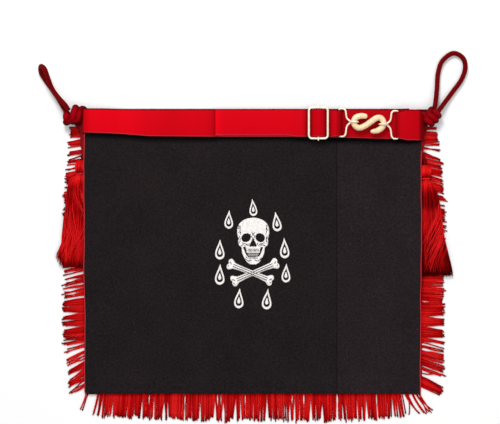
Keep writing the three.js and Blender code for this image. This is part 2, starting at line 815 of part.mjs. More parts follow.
// Knots of wound cord at the top corners, with helical turns

function addKnot(name, centre, axis, length, diameter) {
  const sides = 12;
  const along = axis.clone().normalize();
  const up = new THREE.Vector3(0, 0, 1);
  const across = up.clone().cross(along).normalize();
  const stand = along.clone().cross(across).normalize();
  const rings = spread(0, 1, 14).map((share) => {
    const ring = [];
    const belly = Math.sqrt(Math.max(0.06, 1 - (2 * share - 1) ** 4));
    for (let j = 0; j < sides; j += 1) {
      const angle = (j * 2 * Math.PI) / sides;
      const phase = Math.PI * (knotTurns * share - angle / (2 * Math.PI));
      const ridge = 0.8 + 0.2 * Math.abs(Math.sin(phase));
      const radius = (diameter / 2) * belly * ridge;
      const p = centre.clone().addScaledVector(along, (share - 0.5) * length);
      p.addScaledVector(across, radius * Math.cos(angle));
      p.addScaledVector(stand, radius * knotSquash * Math.sin(angle));
      ring.push(p);
    }
    return ring;
  });
  addMesh(name, loft(rings, false), darkRed, 0.6, 0);
}

const edgeTurn = (layerAt(halfWidth, 0) - lift(halfWidth, beltMiddle) + clearance) / 2;
const knotStart = halfWidth + edgeTurn + strapThickness + clearance;

function knotAt(x, y, diameter) {
  return new THREE.Vector3(x, y, thinLift + (diameter / 2) * knotSquash);
}
const leftKnotX = -knotStart - leftKnotLength / 2;
const rightKnotX = knotStart + rightKnotDiameter * 0.58;
const leftKnot = knotAt(leftKnotX, strapTop - leftKnotDrop, leftKnotDiameter);
const rightKnot = knotAt(rightKnotX, strapTop - rightKnotDrop, rightKnotDiameter);
const leftAxis = new THREE.Vector3(-1, 0.15, 0);
const rightAxis = new THREE.Vector3(0.62, 0.78, 0);
addKnot('knot_left', leftKnot, leftAxis, leftKnotLength, leftKnotDiameter);
addKnot('knot_right', rightKnot, rightAxis, rightKnotLength, rightKnotDiameter);

// Cords. Their points are chosen by hand, from each knot out and back, and to each tassel.
const cordRest = cordDiameter / 2;
const cordRoutes = {
  loop_cord_right: [
    [216.8, 172.5, 8.2],
    [219.8, 193.5, 5.0],
    [221.5, 213.0, 3.1],
    [226.5, 227.5, 3.1],
    [240.0, 237.0, 3.1],
    [251.5, 231.0, 3.1],
    [254.0, 219.5, 3.1],
    [249.5, 205.5, 3.1],
    [239.5, 191.5, 3.3],
    [230.0, 178.8, 5.0],
    [224.0, 171.0, 7.6],
  ],
  loop_cord_left: [
    [-226.7, 171.9, 6.8],
    [-232.5, 181.5, 4.6],
    [-240.5, 193.0, 3.1],
    [-248.5, 204.5, 3.1],
    [-254.0, 214.0, 4.5],
    [-253.0, 220.5, 10.5],
    [-248.0, 217.0, 16.5],
    [-244.6, 207.5, 15.5],
    [-240.0, 194.0, 9.5],
    [-231.5, 182.5, 12.0],
    [-224.0, 174.4, 14.0],
  ],
  tassel_cord_left: [
    [-210.4, 151.2, 6.0],
    [-203.0, 147.0, 4.6],
    [-197.5, 140.0, 4.6],
    [-195.5, 130.0, 4.6],
    [-199.3, 119.5, 4.6],
    [-205.0, 110.9, 5.3],
  ],
  tassel_cord_right: [
    [209.0, 149.2, 6.0],
    [202.0, 142.2, 4.6],
    [197.0, 135.0, 4.6],
    [196.0, 123.0, 4.6],
    [199.5, 114.5, 4.6],
    [204.8, 109.0, 5.2],
    [205.8, 103.8, 5.3],
  ],
};

function addCord(name, points) {
  const path = points.map((p) => new THREE.Vector3(p[0], p[1], Math.max(p[2], cordRest)));
  cordNodes.push(addMesh(name, cordTube(path), darkRed, 0.7, 0));
}
for (const [name, points] of Object.entries(cordRoutes)) {
  addCord(name, points);
}

// Embroidery

const clothFace = clothThickness + stitchGap;

function place2d(x, y) {
  return new THREE.Vector2(x, y - emblemDrop);
}

function raisedShape(shape, from, height) {
  const geometry = new THREE.ExtrudeGeometry(shape, {
    depth: height,
    bevelEnabled: false,
    curveSegments: 4,
  });
  geometry.translate(0, 0, from);
  return geometry;
}

// A teardrop with its tip up, about its middle
function tearShape(size, scale) {
  const shape = new THREE.Shape();
  const count = 12;
  for (let i = 0; i < count; i += 1) {
    const angle = (i * 2 * Math.PI) / count;
    const bulge = 1.3 * Math.sin(angle) * Math.abs(Math.sin(angle / 2));
    const x = (size * scale * tearWidth * bulge) / 2;
    const y = (size * scale * tearLength * Math.cos(angle)) / 2;
    if (i === 0) {
      shape.moveTo(x, y);
    } else {
      shape.lineTo(x, y);
    }
  }
  return shape;
}

// Places of the nine tears' middles, as shares of the emblem's reach, their tilt and size
const tears = [
  { across: 0, up: 0.79, tilt: 0.04, size: 0.87 },
  { across: -0.43, up: 0.578, tilt: 0, size: 0.94 },
  { across: 0.413, up: 0.543, tilt: 0.1, size: 1 },
  { across: -0.588, up: 0.05, tilt: 0, size: 1.02 },
  { across: 0.554, up: 0.075, tilt: 0.02, size: 1.04 },
  { across: -0.588, up: -0.39, tilt: -0.02, size: 1.05 },
  { across: 0.579, up: -0.365, tilt: -0.02, size: 0.96 },
  { across: -0.25, up: -0.81, tilt: -0.04, size: 1.02 },
  { across: 0.244, up: -0.824, tilt: -0.07, size: 1.05 },
];

function addTears() {
  const rim = 0.74;
  const core = 0.42;
  const base = stitchHeight * 0.4;
  tears.forEach((row, i) => {
    const body = solidOf(raisedShape(tearShape(row.size, 1), 0, stitchHeight));
    const rimCut = solidOf(raisedShape(tearShape(row.size, rim), base, stitchHeight));
    const coreShape = tearShape(row.size, core);
    const middle = solidOf(raisedShape(coreShape, base / 2, stitchHeight - base / 2));
    const geometry = geometryOf(body.subtract(rimCut).add(middle));
    const centre = place2d(row.across * emblemReach, row.up * emblemReach);
    geometry.rotateZ(row.tilt);
    geometry.translate(centre.x, centre.y, clothFace);
    addMesh(`tear_${i + 1}`, geometry, white, 0.6, 0);
  });
}
addTears();

// Half of the skull's outline from the crown to the chin, as shares of its height
const skullOutline = [
  { out: 0, up: 0.5 },
  { out: 0.13, up: 0.475 },
  { out: 0.25, up: 0.41 },
  { out: 0.33, up: 0.31 },
  { out: 0.345, up: 0.2 },
  { out: 0.325, up: 0.08 },
  { out: 0.295, up: -0.03 },
  { out: 0.31, up: -0.1 },
  { out: 0.265, up: -0.175 },
  { out: 0.23, up: -0.27 },
  { out: 0.19, up: -0.41 },
  { out: 0.11, up: -0.5 },
];
const socket = { across: 0.15, up: 0.08, width: 0.19, height: 0.182 };
const mouth = { up: -0.28, width: 0.27, gap: 0.015, tooth: 0.117 };
const nose = [
  { across: 0, up: 0.01 },
  { across: -0.055, up: -0.08 },
  { across: -0.045, up: -0.12 },
  { across: 0.01, up: -0.13 },
  { across: 0.055, up: -0.1 },
];

function ovalShape(x, y, width, height, count) {
  const shape = new THREE.Path();
  for (let i = 0; i < count; i += 1) {
    const angle = (i * 2 * Math.PI) / count;
    const px = x + (width / 2) * Math.cos(angle);
    const py = y + (height / 2) * Math.sin(angle);
    if (i === 0) {
      shape.moveTo(px, py);
    } else {
      shape.lineTo(px, py);
    }
  }
  return shape;
}

function rectShape(x, y, width, height) {
  const shape = new THREE.Shape();
  shape.moveTo(x - width / 2, y - height / 2);
  shape.lineTo(x + width / 2, y - height / 2);
  shape.lineTo(x + width / 2, y + height / 2);
  shape.lineTo(x - width / 2, y + height / 2);
  return shape;
}

function addSkull() {
  const shape = new THREE.Shape();
  const left = skullOutline.slice(1).reverse().map((row) => ({ out: -row.out, up: row.up }));
  [...skullOutline, ...left].forEach((row, i) => {
    const x = row.out * skullHeight;
    const y = row.up * skullHeight;
    if (i === 0) {
      shape.moveTo(x, y);
    } else {
      shape.lineTo(x, y);
    }
  });
  for (const side of [-1, 1]) {
    const x = side * socket.across * skullHeight;
    const width = socket.width * skullHeight;
    const height = socket.height * skullHeight;
    shape.holes.push(ovalShape(x, socket.up * skullHeight, width, height, 12));
  }
  const noseHole = new THREE.Path();
  nose.forEach((row, i) => {
    const x = row.across * skullHeight;
    const y = row.up * skullHeight;
    if (i === 0) {
      noseHole.moveTo(x, y);
    } else {
      noseHole.lineTo(x, y);
    }
  });
  shape.holes.push(noseHole);
  let skull = solidOf(raisedShape(shape, 0, stitchHeight));
  const mouthY = mouth.up * skullHeight;
  const mouthWidth = mouth.width * skullHeight;
  const gapWidth = mouth.gap * skullHeight;
  const toothHeight = mouth.tooth * skullHeight;
  const gapDepth = stitchHeight * 0.5;
  const slits = [rectShape(0, mouthY, mouthWidth, gapWidth)];
  for (const x of spread(-mouthWidth / 2, mouthWidth / 2, 5)) {
    slits.push(rectShape(x, mouthY, gapWidth, toothHeight));
  }
  for (const slit of slits) {
    skull = skull.subtract(solidOf(raisedShape(slit, stitchHeight - gapDepth, stitchHeight)));
  }
  const geometry = geometryOf(skull);
  const centre = place2d(0, skullRise);
  geometry.translate(centre.x, centre.y, clothFace);
  addMesh('skull', geometry, white, 0.6, 0);
}
addSkull();

function boneSolid(angle, height, shift) {
  const shaft = raisedShape(rectShape(0, 0, boneLength, boneWidth), 0, height);
  let bone = solidOf(shaft);
  for (const end of [-1, 1]) {
    for (const side of [-1, 1]) {
      const knob = new THREE.Shape();
      const x = (end * boneLength) / 2;
      const y = side * boneKnob * 0.42;
      knob.setFromPoints(ovalShape(x, y, boneKnob, boneKnob, 10).getPoints());
      bone = bone.add(solidOf(raisedShape(knob, 0, height)));
    }
  }
  return bone.rotate([0, 0, THREE.MathUtils.radToDeg(angle)]).translate([shift, 0, 0]);
}

function addCrossbones() {
  const front = boneSolid(frontBoneTilt, stitchHeight * 1.3, frontBoneShift);
  const back = boneSolid(backBoneTilt, stitchHeight, backBoneShift);
  const geometry = geometryOf(front.add(back));
  const centre = place2d(0, -boneDrop);
  geometry.translate(centre.x, centre.y, clothFace);
  addMesh('crossbones', geometry, white, 0.6, 0);
}
addCrossbones();

// The origin is under the middle of the apron, cords left out, on the surface
const extent = new THREE.Box3();
for (const mesh of apron.children) {
  if (!cordNodes.includes(mesh)) {
    extent.expandByObject(mesh);
  }
}
const middle = extent.getCenter(new THREE.Vector3());
apron.position.set(-middle.x, -middle.y, -extent.min.z);
apron.updateMatrixWorld(true);
export default apron;
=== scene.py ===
import bpy
import math
import random
import numpy as np
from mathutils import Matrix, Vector


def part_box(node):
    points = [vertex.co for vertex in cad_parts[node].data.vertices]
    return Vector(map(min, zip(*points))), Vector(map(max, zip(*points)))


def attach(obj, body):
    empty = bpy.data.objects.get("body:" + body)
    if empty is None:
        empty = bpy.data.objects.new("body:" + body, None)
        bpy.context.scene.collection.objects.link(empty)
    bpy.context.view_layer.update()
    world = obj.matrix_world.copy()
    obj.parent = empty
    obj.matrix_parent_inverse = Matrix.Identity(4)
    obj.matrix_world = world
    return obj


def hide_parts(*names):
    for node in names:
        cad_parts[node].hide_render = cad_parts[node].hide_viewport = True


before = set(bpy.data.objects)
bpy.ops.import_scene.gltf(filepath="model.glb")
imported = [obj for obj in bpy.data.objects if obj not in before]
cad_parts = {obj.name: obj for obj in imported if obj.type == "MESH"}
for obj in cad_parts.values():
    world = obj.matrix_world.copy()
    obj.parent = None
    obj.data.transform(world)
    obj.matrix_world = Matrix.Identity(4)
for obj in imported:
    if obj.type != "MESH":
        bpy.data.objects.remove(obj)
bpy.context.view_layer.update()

random.seed(11)
mm = 0.001

# panel frame: millimetres from the middle of the panel, y towards the belt
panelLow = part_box("panel_main")[0]
halfWidth, halfHeight = 201.0, 170.5
beltWidth = 33.0
shiftX = panelLow[0] + halfWidth * mm
shiftY = panelLow[1] + halfHeight * mm


def at(x, y, z):
    return Vector((x * mm + shiftX, y * mm + shiftY, z * mm))


def rows(points):
    return np.array([at(*p)[:] for p in points])


def unit(value):
    return min(1.0, max(0.0, value))


def smooth(value):
    t = unit(value)
    return t * t * (3 - 2 * t)


def readTable(table, place, column=1):
    # a value read off a table of rows, the first number of each its place
    return float(np.interp(place, [row[0] for row in table], [row[column] for row in table]))


def settle(piece, nodes):
    # every piece lies still with the apron
    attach(piece, "root")
    if nodes:
        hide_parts(*nodes)
    return piece


# camera, lights, floor
print("camera, lights and floor")
view = {"place": (-3.8, 46.8), "away": 1666.7, "lens": 100.0, "sensor": 36, "farthest": 20}
sky = {"colour": (1.0, 1.0, 1.0, 1), "strength": 0.6}
floorSettings = {"size": 9.0, "drop": 0.0001}
cameraData = bpy.data.cameras.new("camera")
cameraData.lens = view["lens"]
cameraData.sensor_width = view["sensor"]
cameraData.clip_end = view["farthest"]
camera = bpy.data.objects.new("camera", cameraData)
camera.location = at(*view["place"], view["away"])
bpy.context.scene.collection.objects.link(camera)
bpy.context.scene.camera = camera

lights = [
    # name, place, size, watts, aims at
    ("key", (-0.3, 1.25, 1.35), 0.7, 21.0, (0.0, 0.02, 0.0)),
    ("fill", (0.8, -0.7, 1.8), 1.6, 8.0, (0.0, 0.0, 0.0)),
]
for name, place, size, watts, target in lights:
    lamp = bpy.data.lights.new(name, "AREA")
    lamp.shape = "DISK"
    lamp.size = size
    lamp.energy = watts
    holder = bpy.data.objects.new(name, lamp)
    holder.location = place
    aim = Vector(target) - Vector(place)
    holder.rotation_euler = aim.to_track_quat("-Z", "Y").to_euler()
    bpy.context.scene.collection.objects.link(holder)

world = bpy.data.worlds.new("studio")
bpy.context.scene.world = world
world.use_nodes = True
background = world.node_tree.nodes["Background"]
background.inputs["Color"].default_value = sky["colour"]
background.inputs["Strength"].default_value = sky["strength"]
bpy.context.scene.view_settings.view_transform = "Standard"
bpy.context.scene.view_settings.look = "None"

bpy.ops.object.select_all(action="DESELECT")
bpy.ops.mesh.primitive_plane_add(size=floorSettings["size"], location=(0, 0, -floorSettings["drop"]))
floor = bpy.context.object
floor.name = "floor"
bpy.ops.object.transform_apply(location=True, rotation=True, scale=True)


# materials
class Finish:
    # a material under construction: nodes are added and joined by short calls
    def __init__(self, name):
        self.material = bpy.data.materials.new(name)
        self.material.use_nodes = True
        self.tree = self.material.node_tree
        self.shader = self.tree.nodes["Principled BSDF"]

    def add(self, kind, **values):
        node = self.tree.nodes.new(kind)
        for key, value in values.items():
            if key in node.inputs:
                node.inputs[key].default_value = value
            else:
                setattr(node, key, value)
        return node

    def join(self, source, sink):
        self.tree.links.new(source, sink)

    def coords(self, scale=(1, 1, 1), layer=None):
        # object coordinates, or a UV map of the piece's own
        if layer:
            start = self.add("ShaderNodeUVMap", uv_map=layer).outputs["UV"]
        else:
            start = self.add("ShaderNodeTexCoord").outputs["Object"]
        mapping = self.add("ShaderNodeMapping")
        mapping.inputs["Scale"].default_value = scale
        self.join(start, mapping.inputs["Vector"])
        return mapping.outputs["Vector"]

    def noise(self, coords, scale, detail=3.0, rough=0.55):
        node = self.add("ShaderNodeTexNoise", Scale=scale, Detail=detail, Roughness=rough)
        self.join(coords, node.inputs["Vector"])
        return node.outputs["Fac"]

    def wave(self, coords, scale, direction, distortion):
        node = self.add("ShaderNodeTexWave", Scale=scale, Distortion=distortion)
        node.bands_direction = direction
        self.join(coords, node.inputs["Vector"])
        return node.outputs["Fac"]

    def ramp(self, value, stops):
        node = self.add("ShaderNodeValToRGB")
        band = node.color_ramp
        while len(band.elements) < len(stops):
            band.elements.new(0.5)
        for element, (place, colour) in zip(band.elements, stops):
            element.position = place
            element.color = (*colour, 1)
        self.join(value, node.inputs["Fac"])
        return node.outputs["Color"]

    def math(self, operation, first, second):
        node = self.add("ShaderNodeMath", operation=operation)
        for socket, value in zip(node.inputs, (first, second)):
            if isinstance(value, (int, float)):
                socket.default_value = value
            else:
                self.join(value, socket)
        return node.outputs["Value"]

    def mix(self, share, first, second, blend="MIX"):
        node = self.add("ShaderNodeMix", data_type="RGBA", blend_type=blend)
        for socket, value in zip((node.inputs[0], node.inputs[6], node.inputs[7]), (share, first, second)):
            if isinstance(value, (int, float)):
                socket.default_value = value
            elif isinstance(value, tuple):
                socket.default_value = (*value, 1)
            else:
                self.join(value, socket)
        return node.outputs[2]

    def bump(self, height, distance, strength=1.0):
        node = self.add("ShaderNodeBump", Distance=distance, Strength=strength)
        self.join(height, node.inputs["Height"])
        self.join(node.outputs["Normal"], self.shader.inputs["Normal"])

    def colour(self, value):
        self.join(value, self.shader.inputs["Base Color"])

    def fix(self, **values):
        names = {"rough": "Roughness", "metal": "Metallic", "specular": "Specular IOR Level"}
        for key, value in values.items():
            self.shader.inputs[names[key]].default_value = value

    def roughness(self, value):
        self.join(value, self.shader.inputs["Roughness"])


def srgb(r, g, b):
    # a colour given as 0 to 255, made linear
    values = []
    for v in (r, g, b):
        v = v / 255
        values.append(v / 12.92 if v <= 0.04045 else ((v + 0.055) / 1.055) ** 2.4)
    return tuple(values)


def scaled(colour, k):
    return tuple(min(1.0, c * k) for c in colour)


def grey(value):
    return (value, value, value)


def everyMillimetres(spacing):
    # the scale of a wave texture whose bands stand this far apart
    return 1.0 / (spacing * mm) / 3.1416


black, white = grey(0), grey(1)


def clothFinish(name, base, weave=0.55):
    # a fine plain weave, threads weave millimetres apart, cloudy and mottled, with a little lint
    f = Finish(name)
    coords = f.coords()
    warp = f.wave(coords, everyMillimetres(weave), "X", 1.2)
    weft = f.wave(coords, everyMillimetres(weave), "Y", 1.2)
    height = f.math("ADD", warp, weft)
    cloud = f.noise(coords, 18.0, 4.0)
    slub = f.noise(f.coords((1, 14, 1)), 260.0, 2.0)
    tone = f.ramp(cloud, [(0.3, scaled(base, 0.82)), (0.7, scaled(base, 1.2))])
    tone = f.mix(f.math("MULTIPLY", slub, 0.35), tone, scaled(base, 1.7))
    mottle = f.noise(coords, 420.0, 4.0, 0.8)
    tone = f.mix(1.0, tone, f.ramp(mottle, [(0.34, grey(0.55)), (0.66, grey(1.5))]), "MULTIPLY")
    tone = f.mix(f.math("MULTIPLY", height, 0.22), tone, scaled(base, 0.45))
    lint = f.noise(coords, 620.0, 1.0)
    tone = f.mix(f.ramp(lint, [(0.7, black), (0.78, grey(0.5))]), tone, scaled(base, 5.0))
    # the shade attribute carries the painted shadow under the belt
    shade = f.add("ShaderNodeAttribute", attribute_name="shade").outputs["Color"]
    f.colour(f.mix(1.0, tone, shade, "MULTIPLY"))
    f.roughness(f.ramp(slub, [(0.2, grey(0.72)), (0.8, grey(0.9))]))
    f.bump(height, 0.05 * mm, 0.6)
    f.fix(specular=0.04)
    return f.material


def webbingFinish(name, base):
    # ribs across the webbing, a fine twill in them, darker along both edges, and a painted highlight along the lower
    # edge
    f = Finish(name)
    coords = f.coords(layer="lay")
    ribs = f.wave(coords, everyMillimetres(0.9), "X", 0.3)
    twill = f.wave(f.coords((1, 1, 1), "lay"), everyMillimetres(0.7), "DIAGONAL", 0.4)
    cloud = f.noise(coords, 22.0, 3.0)
    fleck = f.noise(f.coords((0.4, 5, 1), "lay"), 900.0, 2.0)
    tone = f.ramp(cloud, [(0.32, scaled(base, 0.86)), (0.68, scaled(base, 1.08))])
    tone = f.mix(f.math("MULTIPLY", fleck, 0.25), tone, scaled(base, 0.6))
    height = f.math("ADD", f.math("MULTIPLY", ribs, 0.7), f.math("MULTIPLY", twill, 0.3))
    tone = f.mix(f.math("MULTIPLY", height, 0.16), tone, scaled(base, 0.5))
    parts = f.add("ShaderNodeSeparateXYZ")
    f.join(coords, parts.inputs[0])
    place = f.math("DIVIDE", parts.outputs["Y"], beltWidth)  # 0 at the upper edge, 1 at the lower one
    edges = [(0.0, grey(0.4)), (0.035, grey(0.5)), (0.06, white), (0.94, white), (0.965, grey(0.72))]
    tone = f.mix(1.0, tone, f.ramp(place, edges), "MULTIPLY")
    # painted highlight: a thin pinkish line along the lower edge
    lit = f.ramp(place, [(0.962, black), (0.972, white), (1.0, white)])
    tone = f.mix(f.math("MULTIPLY", lit, 0.55), tone, srgb(214, 60, 76))
    # the shade attribute carries painted shade along the belt
    shade = f.add("ShaderNodeAttribute", attribute_name="shade").outputs["Color"]
    f.colour(f.mix(1.0, tone, shade, "MULTIPLY"))
    f.roughness(f.ramp(cloud, [(0.3, grey(0.42)), (0.7, grey(0.55))]))
    f.bump(height, 0.09 * mm, 0.55)
    f.fix(specular=0.02)
    return f.material


def threadFinish(name, dark, mid, light, rough=0.42, gloss=0.03):
    # silk or cotton threads whose tone differs from one to the next; their shade attribute also carries painted light
    # and shade
    f = Finish(name)
    shade = f.add("ShaderNodeAttribute", attribute_name="shade").outputs["Fac"]
    coords = f.coords()
    fine = f.noise(coords, 700.0, 2.0)
    value = f.math("ADD", f.math("MULTIPLY", shade, 0.8), f.math("MULTIPLY", fine, 0.2))
    f.colour(f.ramp(value, [(0.1, dark), (0.5, mid), (0.92, light)]))
    f.roughness(f.ramp(fine, [(0.2, (rough - 0.08,) * 3), (0.8, (rough + 0.12,) * 3)]))
    f.bump(fine, 0.05 * mm, 0.4)
    f.fix(specular=gloss)
    return f.material


def cordFinish(name, base, paintedShadeDepths=None):
    # two sets of strands plaited round the cord; in a knot, painted shade darkens what lies low and painted light
    # brightens what lies high
    f = Finish(name)
    coords = f.coords(layer="lay")
    first = f.wave(f.coords((1, 1, 1), "lay"), 0.32, "DIAGONAL", 0.2)
    second = f.wave(f.coords((-1, 1, 1), "lay"), 0.32, "DIAGONAL", 0.2)
    plait = f.math("MAXIMUM", first, second)
    fuzz = f.noise(coords, 3.0, 3.0)
    tone = f.ramp(plait, [(0.35, scaled(base, 0.35)), (0.9, scaled(base, 1.1))])
    tone = f.mix(f.math("MULTIPLY", fuzz, 0.4), tone, scaled(base, 0.6))
    # painted shade low in the knot, painted light on its top
    if paintedShadeDepths:
        parts = f.add("ShaderNodeSeparateXYZ")
        f.join(f.coords(), parts.inputs[0])
        height = f.math("DIVIDE", parts.outputs["Z"], paintedShadeDepths[1] * mm)
        low = [(paintedShadeDepths[0] / paintedShadeDepths[1], grey(0.12)), (1.0, grey(1.25))]
        tone = f.mix(1.0, tone, f.ramp(height, low), "MULTIPLY")
    f.colour(tone)
    f.roughness(f.ramp(fuzz, [(0.2, grey(0.5)), (0.8, grey(0.68))]))
    f.bump(plait, 0.25 * mm, 0.5)
    f.fix(specular=0.03)
    return f.material


def giltFinish(name, base, worn, rough=0.24, metal=0.6, scales=False):
    f = Finish(name)
    coords = f.coords()
    dull = f.noise(coords, 160.0, 4.0)
    grain = f.noise(coords, 2200.0, 2.0)
    tone = f.ramp(dull, [(0.35, worn), (0.62, base)])
    if scales:
        lay = f.coords(layer="lay")
        cells = f.add("ShaderNodeTexVoronoi", feature="DISTANCE_TO_EDGE", Scale=1.15)
        f.join(lay, cells.inputs["Vector"])
        edge = f.ramp(cells.outputs["Distance"], [(0.02, black), (0.16, white)])
        tone = f.mix(edge, scaled(worn, 0.72), tone)
        specks = f.ramp(f.noise(coords, 900.0, 1.0), [(0.62, black), (0.7, grey(0.6))])
        tone = f.mix(specks, tone, scaled(worn, 0.25))
        f.bump(edge, 0.14 * mm, 0.5)
    else:
        f.bump(grain, 0.02 * mm, 0.3)
    f.colour(tone)
    f.roughness(f.ramp(dull, [(0.3, (rough + 0.14,) * 3), (0.7, (rough,) * 3)]))
    f.fix(metal=metal)
    return f.material


tones = {
    "black": srgb(29, 24, 25),
    "sideBlack": srgb(35, 28, 30),
    "belt": srgb(222, 3, 22),
    "cord": srgb(118, 0, 5),
    "knot": srgb(160, 0, 14),
    "piping": srgb(196, 58, 66),
    "gilt": srgb(255, 248, 234),
    "giltWorn": srgb(246, 226, 192),
    "cast": srgb(255, 236, 204),
    "castWorn": srgb(255, 222, 172),
}
finishes = {
    "cloth": clothFinish("apron_cloth", tones["black"]),
    "sideCloth": clothFinish("side_cloth", tones["sideBlack"]),
    "webbing": webbingFinish("belt_webbing", tones["belt"]),
    "wire": giltFinish("gilt_wire", tones["gilt"], tones["giltWorn"], 0.26, 0.3),
    "cast": giltFinish("gilt_scales", tones["cast"], tones["castWorn"], 0.4, 0.1, True),
    "cord": cordFinish("plaited_cord", tones["cord"]),
    "knotLeft": cordFinish("knotted_cord_left", tones["knot"], (11.6, 19.6)),
    "knotRight": cordFinish("knotted_cord_right", tones["knot"], (10.0, 18.5)),
    "piping": cordFinish("piping", tones["piping"]),
    "fringe": threadFinish("fringe_thread", srgb(104, 0, 2), srgb(204, 8, 12), srgb(244, 44, 42)),
    "tape": threadFinish("heading_tape", srgb(84, 0, 4), srgb(128, 4, 12), srgb(166, 14, 22), 0.6, 0.06),
    "tassel": threadFinish("tassel_silk", srgb(58, 0, 0), srgb(176, 0, 4), srgb(250, 36, 38), 0.36, 0.03),
    "stitch": threadFinish("white_thread", srgb(206, 200, 196), srgb(250, 246, 243), srgb(255, 255, 254), 0.5, 0.1),
    "inkThread": threadFinish("dark_thread", srgb(10, 8, 9), srgb(24, 20, 20), srgb(92, 86, 86), 0.6, 0.04),
}
floorFinish = Finish("pale_floor")
patches = floorFinish.noise(floorFinish.coords(), 3.0)
floorFinish.colour(floorFinish.ramp(patches, [(0.3, grey(0.9)), (0.7, grey(0.93))]))
floorFinish.fix(rough=0.9, specular=0.1)
floor.data.materials.append(floorFinish.material)


# mesh makers for cloth, cords and the many small threads
def meshPiece(name, points, faces, finish, shade=None, lay=None, softly=True):
    mesh = bpy.data.meshes.new(name)
    mesh.from_pydata([tuple(p) for p in points], [], faces)
    if shade is not None:
        layer = mesh.attributes.new("shade", "FLOAT", "POINT")
        layer.data.foreach_set("value", np.asarray(shade, dtype=np.float32))
    if lay is not None:
        uv = mesh.uv_layers.new(name="lay")
        loops = np.zeros(len(mesh.loops), dtype=np.int32)
        mesh.loops.foreach_get("vertex_index", loops)
        uv.data.foreach_set("uv", np.asarray(lay, dtype=np.float32)[loops].ravel())
    if softly:
        mesh.polygons.foreach_set("use_smooth", [True] * len(mesh.polygons))
    mesh.materials.append(finish)
    piece = bpy.data.objects.new(name, mesh)
    bpy.context.scene.collection.objects.link(piece)
    return piece


# the six faces of a box whose points are its lower ring and its upper ring
boxFaces = ((0, 3, 2, 1), (4, 5, 6, 7), (0, 1, 5, 4), (1, 2, 6, 5), (2, 3, 7, 6), (3, 0, 4, 7))


def runAlong(line):
    # how far along the line each of its points is
    return np.concatenate([[0], np.cumsum(np.linalg.norm(np.diff(np.array(line), axis=0), axis=1))])


def curveThrough(points, count):
    # a smooth line through chosen points, at even steps
    p = np.array(points, dtype=float)
    first = 2 * p[0] - p[1]
    last = 2 * p[-1] - p[-2]
    p = np.vstack([first, p, last])
    out = []
    for i in range(1, len(p) - 2):
        knots = [0.0]
        for j in range(3):
            knots.append(knots[-1] + max(1e-9, np.linalg.norm(p[i + j] - p[i + j - 1])) ** 0.5)
        t0, t1, t2, t3 = knots
        for t in np.linspace(t1, t2, 16, endpoint=False):
            a1 = (t1 - t) / (t1 - t0) * p[i - 1] + (t - t0) / (t1 - t0) * p[i]
            a2 = (t2 - t) / (t2 - t1) * p[i] + (t - t1) / (t2 - t1) * p[i + 1]
            a3 = (t3 - t) / (t3 - t2) * p[i + 1] + (t - t2) / (t3 - t2) * p[i + 2]
            b1 = (t2 - t) / (t2 - t0) * a1 + (t - t0) / (t2 - t0) * a2
            b2 = (t3 - t) / (t3 - t1) * a2 + (t - t1) / (t3 - t1) * a3
            out.append((t2 - t) / (t2 - t1) * b1 + (t - t1) / (t2 - t1) * b2)
    out.append(p[-2])
    line = np.array(out)
    run = runAlong(line)
    places = np.linspace(0, run[-1], count)
    return np.stack([np.interp(places, run, line[:, k]) for k in range(3)], axis=1)


def framesAlong(line):
    # for each point its direction and two square directions that don't twist
    ahead = np.gradient(line, axis=0)
    ahead /= np.linalg.norm(ahead, axis=1)[:, None]
    up = np.array([0, 0, 1.0]) if abs(ahead[0][2]) < 0.9 else np.array([0, 1.0, 0])
    sides = []
    for d in ahead:
        up = up - d * up.dot(d)
        up = up / np.linalg.norm(up)
        sides.append(up)
    sides = np.array(sides)
    return ahead, sides, np.cross(ahead, sides)


def cordPiece(name, line, diameter, finish, around=24, ridge=0.05, pitch=9.0):
    # a closed tube with the low ridges of its plait; pitch in millimetres for one turn
    ahead, first, second = framesAlong(line)
    run = runAlong(line) / mm
    points, lay, faces = [], [], []
    for i, centre in enumerate(line):
        for j in range(around):
            a = j * 2 * math.pi / around
            turn = 2 * math.pi * run[i] / pitch
            high = max(math.sin(4 * (a + turn)), math.sin(4 * (a - turn)))
            r = diameter / 2 * (1 - ridge + ridge * high)
            points.append(centre + r * (math.cos(a) * first[i] + math.sin(a) * second[i]))
            lay.append((run[i], abs(j * 2 / around - 1) * diameter / mm * 1.57))
    for i in range(len(line) - 1):
        for j in range(around):
            k = (j + 1) % around
            a, b = i * around, (i + 1) * around
            faces.append((a + j, a + k, b + k, b + j))
    for end, order in ((0, -1), (len(line) - 1, 1)):
        hub = len(points)
        points.append(line[end])
        lay.append((run[end], 0))
        for j in range(around):
            k = (j + 1) % around
            a, b = end * around + j, end * around + k
            faces.append((hub, a, b) if order > 0 else (hub, b, a))
    return meshPiece(name, points, faces, finish, lay=lay)


